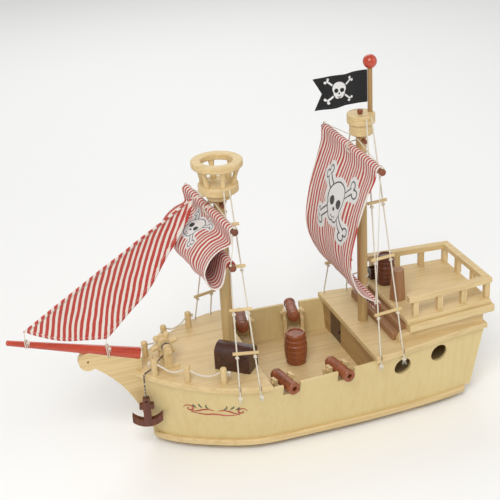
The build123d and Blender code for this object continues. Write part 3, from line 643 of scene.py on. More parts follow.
class StrandTree(LineTree):
    """Lays three twisted strands along a line, as a rope is laid."""

    STRANDS = 3

    def __init__(self) -> None:
        """Builds the tree."""
        super().__init__("laid_strands", {"Offset": "NodeSocketFloat", "Strand": "NodeSocketFloat",
                                          "Lay": "NodeSocketFloat", "Step": "NodeSocketFloat",
                                          "Finish": "NodeSocketMaterial"})
        given = self.given.outputs
        line = self.node("GeometryNodeMeshToCurve", {}, {"Mesh": given["Line"]})
        even = self.node("GeometryNodeResampleCurve", {"mode": "LENGTH"}, {
            "Curve": line.outputs[0], "Length": given["Step"]})
        along = self.node("GeometryNodeSplineParameter", {}, {}).outputs["Length"]
        normal = self.node("GeometryNodeInputNormal", {}, {}).outputs[0]
        tangent = self.node("GeometryNodeInputTangent", {}, {}).outputs[0]
        side = self.node("ShaderNodeVectorMath", {"operation": "CROSS_PRODUCT"}, {
            0: tangent, 1: normal}).outputs[0]
        turn = self.maths("MULTIPLY", self.maths("DIVIDE", along, given["Lay"]), math.tau)
        ring = self.node("GeometryNodeCurvePrimitiveCircle", {}, {
            "Resolution": 6, "Radius": given["Strand"]})
        join = self.node("GeometryNodeJoinGeometry", {}, {})
        for k in range(self.STRANDS):
            angle = self.maths("ADD", turn, math.tau * k / self.STRANDS)
            parts = []
            for wave, way in (("COSINE", normal), ("SINE", side)):
                far = self.maths("MULTIPLY", self.maths(wave, angle), given["Offset"])
                parts.append(self.node("ShaderNodeVectorMath", {"operation": "SCALE"}, {
                    0: way, "Scale": far}).outputs[0])
            offset = self.node("ShaderNodeVectorMath", {"operation": "ADD"}, dict(enumerate(parts)))
            moved = self.node("GeometryNodeSetPosition", {}, {
                "Geometry": even.outputs[0], "Offset": offset.outputs[0]})
            strand = self.node("GeometryNodeCurveToMesh", {}, {
                "Curve": moved.outputs[0], "Profile Curve": ring.outputs[0], "Fill Caps": True})
            self.tree.links.new(strand.outputs[0], join.inputs[0])
        self.end(join.outputs[0])


class StitchTree(LineTree):
    """Sets small raised stitches along a line, none quite like the next."""

    def __init__(self) -> None:
        """Builds the tree."""
        super().__init__("sewn_stitches", {"Pitch": "NodeSocketFloat", "Thread": "NodeSocketFloat",
                                           "Length": "NodeSocketFloat",
                                           "Finish": "NodeSocketMaterial"})
        given = self.given.outputs
        line = self.node("GeometryNodeMeshToCurve", {}, {"Mesh": given["Line"]})
        spots = self.node("GeometryNodeCurveToPoints", {"mode": "LENGTH"}, {
            "Curve": line.outputs[0], "Length": given["Pitch"]})
        ball = self.node("GeometryNodeMeshUVSphere", {}, {"Segments": 6, "Rings": 4, "Radius": 0.5})
        long = self.node("FunctionNodeRandomValue", {"data_type": "FLOAT"}, {
            "Min": 0.85, "Max": 1.1, "Seed": 7})
        vary = self.node("ShaderNodeCombineXYZ", {}, {
            0: given["Thread"], 1: given["Thread"],
            2: self.maths("MULTIPLY", given["Length"], long.outputs[1])})
        sewn = self.node("GeometryNodeInstanceOnPoints", {}, {
            "Points": spots.outputs["Points"], "Instance": ball.outputs[0],
            "Rotation": spots.outputs["Rotation"], "Scale": vary.outputs[0]})
        self.end(sewn.outputs[0])


# ---- shared tools of the rigger --------------------------------------------------------
class Lay(Enum):
    """How a cord lies."""

    TAUT = "taut"
    LOOSE = "loose"
    COILED = "coiled"


@dataclass
class Rigger:
    shelf: FinishShelf
    strands: StrandTree
    rng: random.Random = field(default_factory=lambda: random.Random(11))

    def rope(self, name: str, route: Sequence[Point], diameter: float, finish: Twine,
             fine: int = 10) -> tuple[bpy.types.Object, list[Vector]]:
        """A laid rope along a route.

        Args:
            name: The piece's name.
            route: The route's points, in millimetres.
            diameter: The rope's diameter, in millimetres.
            finish: Its finish.
            fine: Points read for each stretch.

        Returns:
            The rope and its centreline.
        """
        line = smooth_line(route, fine)
        piece = self.strands.bake(name, [line], {
            "Offset": diameter * 0.25 * MM, "Strand": diameter * 0.27 * MM,
            "Lay": diameter * 2.6 * MM, "Step": max(0.35, diameter * 0.34) * MM,
            "Finish": self.shelf.take(finish)})
        return piece, line

    def cord(self, name: str, route: Sequence[Point], diameter: float, body: str,
             nodes: Sequence[str], finish: Twine | None = None,
             fine: int = 10) -> bpy.types.Object:
        """A rope that rides on a body and stands for CAD nodes."""
        made = finish or FinishShelf.CORD
        piece, line = self.rope(name, route, diameter, made, fine)
        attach(piece, body)
        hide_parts(*nodes)
        run_length(line)
        LOG.info("cord %s, %.0f mm", name, run_length(line) * 1000)
        return piece

    def tie(self, shell: Shell, centre: Vector, size: float, frayed: bool) -> None:
        """Adds an overhand knot, with teased-out ends if it is frayed.

        Args:
            shell: The shell it goes into.
            centre: The knot's middle, in metres.
            size: Its width, in metres.
            frayed: Whether loose fibres hang from it.
        """
        spin = Matrix.Rotation(self.rng.uniform(0, math.tau), 3, "Z") @ Matrix.Rotation(
            self.rng.uniform(-0.4, 0.4), 3, "X")
        loops = []
        for k in range(30):
            a = math.tau * k / 30
            flat = Vector(((2 + math.cos(3 * a)) * math.cos(2 * a),
                           (2 + math.cos(3 * a)) * math.sin(2 * a), 1.5 * math.sin(3 * a)))
            loops.append(centre + spin @ flat * (size * 0.125))
        shell.tube(loops, lambda t: size * 0.19, 6, closed=True)
        if not frayed:
            return
        for k in range(7):
            a = math.tau * k / 7 + self.rng.uniform(-0.3, 0.3)
            out = Vector((math.cos(a), math.sin(a), 0)) * size * self.rng.uniform(0.3, 0.75)
            drop = Vector((0, 0, -size * self.rng.uniform(0.9, 1.5)))
            wisp = [centre, centre + out * 0.5 + drop * 0.45, centre + out + drop]
            shell.tube(wisp, lambda t: size * (0.07 - 0.045 * t), 4)

    def knots(self, name: str, spots: Sequence[tuple[Point, float, bool]], body: str,
              nodes: Sequence[str], finish: Twine | None = None) -> bpy.types.Object:
        """Several knots as one piece; each spot is a place and a width in millimetres."""
        shell = Shell()
        for place, size, frayed in spots:
            self.tie(shell, Vector(place) * MM, size * MM, frayed)
        piece = outward(solid(name, shell.verts, shell.faces,
                              self.shelf.take(finish or FinishShelf.CORD)))
        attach(piece, body)
        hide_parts(*nodes)
        return piece


# ---- standing rigging -------------------------------------------------------------------
@dataclass
class Shrouds:
    """Pairs of taut cords from the deck edge to a mast head, knotted under each rung."""

    name: str
    feet: tuple[Flat, Flat]
    heads: tuple[Point, Point]
    rungs: tuple[float, ...]
    foot_z: float = 96.0
    diameter: float = 1.9
    knot: float = 5.6

    def at(self, which: int, side: int, z: float) -> Point:
        """Point of one cord at a height; side is -1 to port and 1 to starboard."""
        (x0, y0), (x1, y1, z1) = self.feet[which], self.heads[which]
        k = (z - self.foot_z) / (z1 - self.foot_z)
        return (x0 + (x1 - x0) * k, side * (y0 + (y1 - y0) * k), z)

    def build(self, rigger: Rigger) -> None:
        """Makes the four cords with their knots."""
        for side, word in ((-1, "port"), (1, "starboard")):
            for which in (0, 1):
                top = self.heads[which][2]
                spots = [(self.at(which, side, self.foot_z - 1), self.knot, True)]
                spots += [(self.at(which, side, z - 4.7), self.knot * 0.85, False)
                          for z in self.rungs]
                label = f"{self.name}_{word}_{which + 1}"
                knots = rigger.knots(f"{label}_knots", spots, "hull", ["shroud_knots"])
                route = [self.at(which, side, z) for z in
                         (self.foot_z, self.foot_z + 60, (self.foot_z + top) / 2, top)]
                rigger.cord(label, route, self.diameter, "hull", ["shroud_cords"])


# ---- yards, their lashings, lifts and sheets ----------------------------------------------
@dataclass
class Spar:
    """A yard on its mast, which cords and sails are made to fit."""

    mast_x: float
    mast_r: float
    half: float
    z: float
    slew: float = 0.0
    radius: float = 4.0
    gap: float = 2.0

    @property
    def out(self) -> float:
        """How far the yard's middle stands before the mast's."""
        return self.mast_r + self.gap + self.radius

    def end(self, side: int, along: float) -> Point:
        """A point on the yard's axis, a share of its half length from the mast."""
        a, y = math.radians(self.slew), side * along * self.half
        return (self.mast_x - self.out * math.cos(a) - y * math.sin(a),
                -self.out * math.sin(a) + y * math.cos(a), self.z)


@dataclass
class YardGear:
    """Lashings at the mast, lifts to the yard ends and sheets from yard to yard."""

    name: str
    upper: Spar
    lower: Spar
    peg_z: float
    lash: float = 1.6
    line: float = 1.2
    lift_knot: float = 3.6
    sheet_knot: float = 3.4
    made_fast: float = 0.97
    lash_level: float = 6.6
    lash_front: float = 6.5
    lash_step: float = 1.5
    lash_bends: tuple[Point, ...] = ((1.5, 0.92, 1.0), (-4.6, 0.6, 0.75))

    def lashing(self, spar: Spar) -> list[Point]:
        """Route of two turns behind the mast, crossed over the front of the yard."""
        r, yard = spar.mast_r + 1.1, spar.mast_x - spar.out
        route = []
        for step, level in enumerate((self.lash_level, -self.lash_level)):
            for a in range(-90, 91, 30):
                turn = math.radians(a)
                route.append((spar.mast_x + r * math.cos(turn), r * math.sin(turn), spar.z + level))
            route += [(yard + x, r * y, spar.z + level * z) for x, y, z in self.lash_bends]
            route.append((yard - self.lash_front - self.lash_step * step, 0.0, spar.z))
            route += [(yard + x, -r * y, spar.z - level * z)
                      for x, y, z in reversed(self.lash_bends)]
        return route

    def build(self, rigger: Rigger) -> None:
        """Makes the cords."""
        for spar, word in ((self.upper, "upper"), (self.lower, "lower")):
            rigger.cord(f"{self.name}_{word}_lashing", self.lashing(spar), self.lash, "hull",
                        ["running_cords"], fine=8)
        peg = (self.upper.mast_x - self.upper.mast_r - 0.8, self.peg_z + 3.6)
        for side, word in ((-1, "port"), (1, "starboard")):
            ux, uy, uz = self.upper.end(side, self.made_fast)
            lx, ly, lz = self.lower.end(side, self.made_fast)
            knot = rigger.knots(f"{self.name}_{word}_lift_knot",
                                [((ux, uy, uz + 5.4), self.lift_knot, False)],
                                "hull", ["running_cords"])
            high, low = (peg[0], side * 2, peg[1]), (ux, uy, uz + 5)
            mid = tuple((a + b) / 2 for a, b in zip(high, low))
            rigger.cord(f"{self.name}_{word}_lift", [high, (mid[0], mid[1], mid[2] - 0.8), low],
                        self.line, "hull", ["running_cords"])
            knots = rigger.knots(f"{self.name}_{word}_sheet_knots",
                                 [((ux - 2.6, uy, uz - 4), self.sheet_knot, False),
                                  ((lx - 2.6, ly, lz + 4), self.sheet_knot, True)],
                                 "hull", ["running_cords"])
            top, foot = (ux - 2.6, uy, uz - 3.4), (lx - 2.6, ly, lz + 3.4)
            mid = tuple((a + b) / 2 for a, b in zip(top, foot))
            rigger.cord(f"{self.name}_{word}_sheet", [top, (mid[0] + 1.5, mid[1], mid[2]), foot],
                        self.line, "hull", ["running_cords"])


@dataclass
class JibTies:
    """Cords that hold the jib's three corners."""

    butt: Flat = (-213.0, 129.0)
    tip: Flat = (-366.0, 179.0)
    butt_r: float = 7.5
    tip_r: float = 3.2
    line: float = 1.2
    knot: float = 3.6

    def spar(self, x: float) -> tuple[float, float]:
        """Height of the bowsprit's axis and its radius at a place along it."""
        k = (self.butt[0] - x) / (self.butt[0] - self.tip[0])
        return (self.butt[1] + (self.tip[1] - self.butt[1]) * k,
                self.butt_r + (self.tip_r - self.butt_r) * k)

    def wound(self, corner: Point) -> list[Point]:
        """Route from a corner of the sail, down and twice round the bowsprit."""
        x, _, z = corner
        axis, r = self.spar(x)
        r += 1.6
        route = [corner, (x, -r * 0.4, (z + axis + r) / 2)]
        for k in range(26):
            a = math.radians(110 + 30 * k)
            route.append((x - 1.6 + 0.16 * k, r * math.cos(a), axis + r * math.sin(a)))
        return route

    def build(self, rigger: Rigger) -> None:
        """Makes the three ties."""
        for word, corner in (("tack", (-344.0, 0.0, 188.0)), ("clew", (-251.0, 0.0, 159.5))):
            route = self.wound(corner)
            knot = rigger.knots(f"jib_{word}_knot", [(route[-1], self.knot, True)], "hull",
                                ["running_cords"])
            rigger.cord(f"jib_{word}_tie", route, self.line, "hull", ["running_cords"],
                        fine=6)
        route = [(-114.2, -2.2, 318.6), (-121, -2.4, 318.8), (-131.5, -1.8, 318.4),
                 (-133.0, 0, 318.0), (-131.5, 1.8, 317.6), (-121, 2.4, 317.8), (-114.2, 2.2, 317.6)]
        rigger.cord("jib_head_tie", route, self.line, "hull", ["running_cords"])


@dataclass
class DeckRopes:
    """Rope rails through the foredeck posts, sagging between them."""

    posts: tuple[Flat, ...] = ((-201.0, 24.0), (-168.5, 54.3), (-130.0, 76.5))
    high: float = 124.0
    low: float = 116.0
    diameter: float = 2.2
    knot: float = 4.6

    def route(self, side: int) -> list[Point]:
        """The rail's route on one side."""
        (ax, ay), (bx, by), (cx, cy) = self.posts

        def spot(x: float, y: float, z: float) -> Point:
            """A point on this side."""
            return (x, side * y, z)

        return [spot(ax - 5, ay - 3, self.high), spot(ax, ay, self.high),
                spot(ax + 5, ay + 4, self.high - 1.5), spot(ax + 14, ay + 13, self.low + 1),
                spot(bx - 12, by - 11, self.low + 1), spot(bx - 4, by - 3.2, self.high - 1),
                spot(bx, by, self.high), spot(bx + 4, by + 2.6, self.high - 1),
                spot(bx + 13, by + 8, self.low + 1), spot(cx - 12, cy - 6.6, self.low + 1),
                spot(cx - 4, cy - 2.2, self.high - 1), spot(cx, cy, self.high),
                spot(cx + 6, cy + 3, self.high - 1)]

    def build(self, rigger: Rigger) -> None:
        """Makes both rails with a knot at each end."""
        for side, word in ((-1, "port"), (1, "starboard")):
            route = self.route(side)
            knots = rigger.knots(f"rope_rail_{word}_knots",
                                 [(route[0], self.knot, True), (route[-1], self.knot, True)],
                                 "hull", ["deck_ropes"])
            rigger.cord(f"rope_rail_{word}", route, self.diameter, "hull", ["deck_ropes"])


@dataclass
class AnchorLine:
    """Brown cord wound on the windlass, led over the bow and down to the anchor."""

    axis: Flat = (-181.0, 134.0)
    wound_r: float = 5.35
    diameter: float = 1.6
    run_diameter: float = 1.8

    def build(self, rigger: Rigger) -> None:
        """Makes the turns on the drum and the run to the anchor's eye."""
        x, z = self.axis
        turns = [(x + self.wound_r * math.cos(math.radians(30 * k)), -6.2 - 1.75 * k / 12,
                  z - self.wound_r * math.sin(math.radians(30 * k))) for k in range(24)]
        rigger.cord("anchor_cord_turns", turns, self.diameter, "windlass", ["anchor_cord_coil"],
                    finish=FinishShelf.DARK_CORD, fine=5)
        route = [(x - 1, -8, z - 7.4), (-190, -9.5, 121), (-199, -12.6, 113), (-206, -15.6, 110.6),
                 (-210.5, -18.2, 110.4), (-213.8, -20.2, 109.8), (-214.4, -20.8, 104),
                 (-214.5, -21.2, 90), (-214.5, -21.4, 75.0)]
        piece, line = rigger.rope("anchor_cord_run", route, self.run_diameter,
                                  FinishShelf.DARK_CORD)
        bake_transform(piece)
        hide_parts("anchor_cord", "anchor_fall")
        eye = rigger.knots("anchor_eye_knot", [((-214.5, -21.4, 78.4), 4.2, True)], "anchor",
                           ["anchor_fall"], FinishShelf.DARK_CORD)
        run_length(line)
        LOG.info("anchor cord, %.0f mm", run_length(line) * 1000)


# ---- sails and flag -----------------------------------------------------------------------
@dataclass
class Hem:
    """A turned-over edge: its two lines, and the cloth's own map along them."""

    edge: list[Vector]
    inner: list[Vector]
    edge_uv: list[Flat]
    inner_uv: list[Flat]


@dataclass
class Needle:
    """Hems and stitches a piece of cloth."""

    shelf: FinishShelf
    stitches: StitchTree

    def cloth(self, name: str, rows: list[list[Vector]], uv: list[list[Flat]],
              finish: Cotton, thick: float) -> bpy.types.Object:
        """A woven sheet over a grid of points.

        Args:
            name: The piece's name.
            rows: The grid, row by row.
            uv: The cloth's own map at each point, in metres.
            finish: Its finish.
            thick: Its thickness in metres.

        Returns:
            The sheet.
        """
        wide = len(rows[0])
        faces = [(r * wide + c, r * wide + c + 1, (r + 1) * wide + c + 1, (r + 1) * wide + c)
                 for r in range(len(rows) - 1) for c in range(wide - 1)]
        piece = solid(name, [p for row in rows for p in row], faces, self.shelf.take(finish),
                      [t for row in uv for t in row])
        body = piece.modifiers.new("body", "SOLIDIFY")
        body.thickness, body.offset = thick, 0.0
        return piece

    def seam(self, name: str, lines: Sequence[Sequence[Vector]],
             thread: Twine | None = None) -> bpy.types.Object:
        """A row of stitches along each line, in cream thread unless another is given."""
        finish = self.shelf.take(thread or FinishShelf.CORD)
        return self.stitches.bake(name, lines, {"Pitch": 2.6 * MM, "Thread": 0.5 * MM,
                                                "Length": 1.7 * MM, "Finish": finish})

    @staticmethod
    def hang(pieces: Sequence[bpy.types.Object], node: str, slot: str) -> None:
        """Fixes a cloth and what is sewn to it on the hull, in place of its part."""
        for piece in pieces:
            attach(piece, "hull")
        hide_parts(node)

    def fold(self, name: str, edges: Sequence[Hem], finish: Cotton,
             thick: float) -> bpy.types.Object:
        """Turned-over hems.

        Args:
            name: The piece's name.
            edges: The hems, each with the cloth's edge and the line that it is sewn down to.
            finish: Its finish.
            thick: Thickness of the turned cloth in metres.

        Returns:
            The hems as one closed piece.
        """
        verts: list[Vector] = []
        faces: list[tuple[int, ...]] = []
        marks: list[Flat] = []
        for hem in edges:
            edge, base = hem.edge, len(verts)
            for k, (a, b) in enumerate(zip(edge, hem.inner)):
                ahead = edge[min(k + 1, len(edge) - 1)] - edge[max(k - 1, 0)]
                up = ahead.cross(b - a).normalized() * thick
                out = (a - b).normalized() * thick * 0.8
                verts += [b + up, a + up, a + out, a - up, b - up]
                marks += [hem.inner_uv[k], *[hem.edge_uv[k]] * 3, hem.inner_uv[k]]
            for k in range(len(edge) - 1):
                for s in range(5):
                    t = (s + 1) % 5
                    faces.append((base + 5 * k + s, base + 5 * k + t,
                                  base + 5 * k + 5 + t, base + 5 * k + 5 + s))
            last = base + 5 * (len(edge) - 1)
            faces.append(tuple(base + s for s in range(5)))
            faces.append(tuple(last + s for s in reversed(range(5))))
        piece = solid(name, verts, faces, self.shelf.take(finish), marks)
        return outward(piece)


@dataclass
class SquareSail:
    """A striped sail with a sleeve round each of its two yards, bellied between them."""

    name: str
    upper: Spar
    lower: Spar
    belly: tuple[Flat, ...]
    head_half: float
    foot_half: float
    sleeve: float
    leave: float
    join: float
    finish: Cotton
    waist: float = 3.0
    crease: float = 1.6
    thick: float = 0.8
    columns: int = 72

    def arc(self, spar: Spar, start: float, end: float) -> list[Flat]:
        """Points round a yard from one angle to another, in degrees."""
        x, z = spar.mast_x - spar.out, spar.z
        steps = 16
        return [(x + self.sleeve * math.cos(math.radians(start + (end - start) * k / steps)),
                 z + self.sleeve * math.sin(math.radians(start + (end - start) * k / steps)))
                for k in range(steps + 1)]

    def profile(self) -> tuple[list[Flat], list[float]]:
        """The sail's section from sleeve to sleeve, and how free of the yards each point is."""
        head = self.arc(self.upper, -95.0, self.leave)
        foot = self.arc(self.lower, self.join, self.join - 285.0)
        body = eased([head[-1], *self.belly, foot[0]], 84)[1:-1]
        free = [math.sin(math.pi * (k + 1) / (len(body) + 1)) ** 0.6 for k in range(len(body))]
        return head + body + foot, [0.0] * len(head) + free + [0.0] * len(foot)

    def rows(self) -> tuple[list[list[Vector]], list[list[Flat]], float]:
        """The cloth's grid, its map and its length down the middle."""
        line, free = self.profile()
        top, low = self.upper.z, self.lower.z
        slope = math.tan(math.radians(self.upper.slew))
        grid, marks, far = [], [], 0.0
        for k, ((x, z), loose) in enumerate(zip(line, free)):
            if k:
                far += math.dist(line[k], line[k - 1])
            ahead = Vector(line[min(k + 1, len(line) - 1)]) - Vector(line[max(k - 1, 0)])
            out = Vector((-ahead.y, ahead.x)).normalized()
            down = min(max((top - z) / max(top - low, 1.0), 0.0), 1.0)
            share = far / 200.0
            half = (self.head_half + (self.foot_half - self.head_half) * down
                    - self.waist * loose)
            lean = slope * min(max((0.85 - k / (len(line) - 1)) / 0.3, 0.0), 1.0)
            row, mark = [], []
            for c in range(self.columns + 1):
                u = -1 + 2 * c / self.columns
                y = u * half
                folds = (math.sin(u * 9.5 + 2.2 * math.sin(share * 4.0)) * 0.55
                         + math.sin(u * 17.0 - share * 5.0 + 1.3) * 0.3
                         + math.sin(u * 4.1 + share * 9.0) * 0.45)
                edge = 1.0 + 0.7 * abs(u) ** 3
                push = folds * self.crease * loose * edge
                slack = math.sin(share * 14.0 + 2.0 * u) * 0.9 * loose * abs(u) ** 4
                row.append(Vector((x + out.x * push - y * lean, y + slack, z + out.y * push)) * MM)
                mark.append(((y + self.head_half) * MM, -far * MM))
            grid.append(row)
            marks.append(mark)
        return grid, marks, far

    def build(self, needle: Needle) -> None:
        """Makes the sail, its side hems and their stitches."""
        grid, marks, length = self.rows()
        sail = needle.cloth(f"{self.name}_cloth", grid, marks, self.finish, self.thick * MM)
        edges, seams = [], []
        for outer, inner in ((0, 2), (-1, -3)):
            edge, stop = [r[outer] for r in grid[3:-3]], [r[inner] for r in grid[3:-3]]
            edges.append(Hem(edge, stop, [m[outer] for m in marks[3:-3]],
                             [m[inner] for m in marks[3:-3]]))
            for k in (1, -1):
                seams.append([s + (e - s) * 0.25 + k * 0.95 * MM * self.face(grid, i + 3, inner)
                              for i, (e, s) in enumerate(zip(edge, stop))])
        hem = needle.fold(f"{self.name}_hems", edges, self.finish, 0.8 * MM)
        sewn = needle.seam(f"{self.name}_stitches", seams)
        needle.hang((sail, hem, sewn), self.name, "sailcloth")
        length * MM

    @property
    def prefix(self) -> str:
        """The mast that the sail hangs on."""
        return "fore" if self.name.startswith("fore") else "main"

    @staticmethod
    def face(grid: list[list[Vector]], row: int, column: int) -> Vector:
        """Way out of the cloth at a point of its grid."""
        side = grid[row][column + (1 if column >= 0 else -1)] - grid[row][column]
        down = grid[min(row + 1, len(grid) - 1)][column] - grid[row - 1][column]
        return side.cross(down).normalized()


@dataclass
class Jib:
    """Three-cornered sail between the foremast head and the bowsprit."""

    luff: tuple[Flat, Flat] = ((-345.0, 188.5), (-130.0, 319.0))
    foot: tuple[Flat, ...] = ((-345.0, 188.5), (-300.0, 166.0), (-250.0, 158.0))
    leech: tuple[Flat, ...] = ((-250.0, 158.0), (-203.0, 200.0), (-165.0, 252.0),
                               (-139.0, 292.0), (-130.0, 319.0))
    finish: Cotton = Cotton("jib_cotton", CALICO, STRIPE_RED, 0.0071, 0.56)
    thick: float = 0.8
    width: float = 77.0

    def build(self, needle: Needle) -> None:
        """Makes the sail with its luff and leech hems and their stitches."""
        far = eased(self.foot, 34) + eased(self.leech, 76)[1:]
        count, deep = len(far), 30
        (x0, z0), (x1, z1) = self.luff
        grid, marks = [], []
        for k, (fx, fz) in enumerate(far):
            s = k / (count - 1)
            nx, nz = x0 + (x1 - x0) * s, z0 + (z1 - z0) * s
            row, mark = [], []
            for c in range(deep + 1):
                t = c / deep
                x, z = nx + (fx - nx) * t, nz + (fz - nz) * t
                body = math.sin(math.pi * s) ** 0.8 * math.sin(math.pi * (0.12 + 0.8 * t))
                folds = math.sin(x * 0.085 + z * 0.04) * 1.1 + math.sin(s * 21 + t * 5) * 0.6
                y = 5.0 * body + folds * math.sin(math.pi * s) * (0.35 + t)
                row.append(Vector((x, y, z)) * MM)
                rise = z - self.foot[-1][1]
                mark.append(((x - 0.17 * rise - 0.0011 * rise * rise) * MM, z * MM))
            grid.append(row)
            marks.append(mark)
        sail = needle.cloth("jib_cloth", grid, marks, self.finish, self.thick * MM)
        inner = range(4, count - 4)
        edges, seams = [], []
        for outer, stop in ((0, 2), (deep, deep - 2)):
            edge = [grid[k][outer] for k in inner]
            down = [e + (grid[k][stop] - e).normalized() * 4.5 * MM for k, e in zip(inner, edge)]
            edges.append(Hem(edge, down, [marks[k][outer] for k in inner],
                             [marks[k][stop] for k in inner]))
            for k in (1, -1):
                seams.append([d + (e - d) * 0.2 + Vector((0, k * 0.95 * MM, 0))
                              for e, d in zip(edge, down)])
        hem = needle.fold("jib_hems", edges, self.finish, 0.8 * MM)
        sewn = needle.seam("jib_stitches", seams)
        needle.hang((sail, hem, sewn), "jib", "sailcloth")
        ring = [self.luff[1], *reversed(far)]
        area = abs(sum(a[0] * b[1] - b[0] * a[1] for a, b in zip(ring, ring[1:] + ring[:1]))) / 2
        area * 1e-6


@dataclass
class Flag:
    """Black swallow-tailed flag, glued by its hoist to the fore face of its pole."""

    high: tuple[Flat, ...] = ((92.4, 442.0), (60.0, 441.0), (25.0, 438.0))
    low: tuple[Flat, ...] = ((92.4, 403.0), (60.0, 402.4), (26.0, 400.5))
    notch: float = 10.0
    across: int = 46
    tall: int = 26
    finish: Cotton = Cotton("flag_cotton", (0.008, 0.008, 0.009), (0.011, 0.010, 0.011), 0.004, 0.5,
                            Emblem((0.037, 0.0195), 0.035), lined=False, sheen=0.03)

    def build(self, needle: Needle) -> None:
        """Makes the flag, its hem and its stitches."""
        grid, marks = [], []
        hoist, bottom = self.low[0]
        tops, lows = eased(self.high, self.across), eased(self.low, self.across)
        for c in range(self.across + 1):
            row, mark = [], []
            (xa, za), (xb, zb) = lows[c], tops[c]
            far = c / self.across
            grow = min(1.0, far * 2.2)
            for r in range(self.tall + 1):
                t = r / self.tall
                cut = self.notch * (1 - abs(2 * t - 1)) * max(0.0, (far - 0.6) / 0.4)
                x, z = xa + (xb - xa) * t + cut, za + (zb - za) * t
                y = grow * (3.0 * math.sin(far * 7.5 + t * 1.1) + 0.9 * math.sin(far * 17 - t * 3))
                x -= 0.3 * math.cos(t * 6) * grow
                row.append(Vector((x, y, z)) * MM)
                mark.append(((hoist - x) * MM, (z - bottom) * MM))
            grid.append(row)
            marks.append(mark)
        flag = needle.cloth("flag_cloth", grid, marks, self.finish, 0.7 * MM)
        edges, seams = [], []
        run = range(1, self.across + 1)
        for outer, stop in ((0, 2), (self.tall, self.tall - 2)):
            edge, down = [grid[c][outer] for c in run], [grid[c][stop] for c in run]
            edges.append(Hem(edge, down, [marks[c][outer] for c in run],
                             [marks[c][stop] for c in run]))
            for k in (1, -1):
                seams.append([d + (e - d) * 0.25 + Vector((0, k * 0.8 * MM, 0))
                              for e, d in zip(edge, down)])
        hem = needle.fold("flag_hems", edges, self.finish, 0.6 * MM)
        sewn = needle.seam("flag_stitches", seams, FinishShelf.BLACK_THREAD)
        needle.hang((flag, hem, sewn), "flag", "flagcloth")
        LOG.info("flag, 39 by 68 mm flat")


# ---- painted scroll on the bow ----------------------------------------------------------
@dataclass
class BowScroll:
    """A painted flourish on the bow: a wavy ribbon between two curls, with leaves."""

    middle: Flat = (-140.0, 69.0)
    reach: float = 34.0
    stroke: float = 1.05

    def strokes(self) -> list[tuple[str, list[Flat]]]:
        """Each brush stroke's colour word and points."""
        out: list[tuple[str, list[Flat]]] = []
        for way in (-1, 1):
            curl = []
            for k in range(22):
                a, r = math.radians(20 * k), 6.0 * (1 - k / 26)
                curl.append((way * (self.reach - 6 + r * math.cos(a)), -2 + r * math.sin(a)))
            sweep = [(way * x, -4 + 3 * math.sin(x / 5.5)) for x in (2, 8, 14, 20, 26)]
            out.append(("red", sweep))
            out.append(("red", curl))
            for x, y, lean in ((8, 3, 55), (15, 4, 40), (21, 3, 25)):
                tip = (way * (x + 5 * math.cos(math.radians(lean))),
                       y + 5 * math.sin(math.radians(lean)))
                out.append(("green", [(way * x, y - 3), (way * (x + 3), y + 0.5), tip]))
        out.append(("red", [(-26, -8), (-12, -10), (0, -8.5), (12, -10), (26, -8)]))
        return out

    def build(self, shelf: FinishShelf, sides: dict[int, bpy.types.Object]) -> None:
        """Lays the strokes on the given hull sides, -1 to port and 1 to starboard."""
        # the third colours are for paint chips and a painted highlight on arrises
        paints = {
            "red": Lacquer("scroll_red", (0.42, 0.02, 0.015), (0.30, 0.015, 0.012),
                           (0.6, 0.25, 0.18)),
            "green": Lacquer("scroll_green", (0.03, 0.09, 0.035), (0.02, 0.055, 0.022),
                             (0.3, 0.35, 0.2))}
        for side, board in sides.items():
            tree = BVHTree.FromPolygons([v.co for v in board.data.vertices],
                                        [tuple(p.vertices) for p in board.data.polygons])
            for word, paint in paints.items():
                shell = Shell()
                for colour, flat in self.strokes():
                    if colour != word:
                        continue
                    line = []
                    for u, v in eased(flat, len(flat) * 5):
                        start = Vector((self.middle[0] + u, side * 200, self.middle[1] + v)) * MM
                        hit, normal, _, _ = tree.ray_cast(start, Vector((0, -side, 0)))
                        if hit:
                            line.append(hit + normal * 0.05 * MM)
                    if len(line) > 2:
                        shell.tube(line, lambda t: self.stroke * MM
                                   * (0.35 + 0.65 * math.sin(math.pi * min(max(t, 0.04), 0.96))), 6)
                piece = outward(solid(f"scroll_{word}_{'port' if side < 0 else 'starboard'}",
                                      shell.verts, shell.faces,
                                      shelf.take(paint, Grain.LENGTHWAYS)))
                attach(piece, "hull")
        LOG.info("bow scroll")


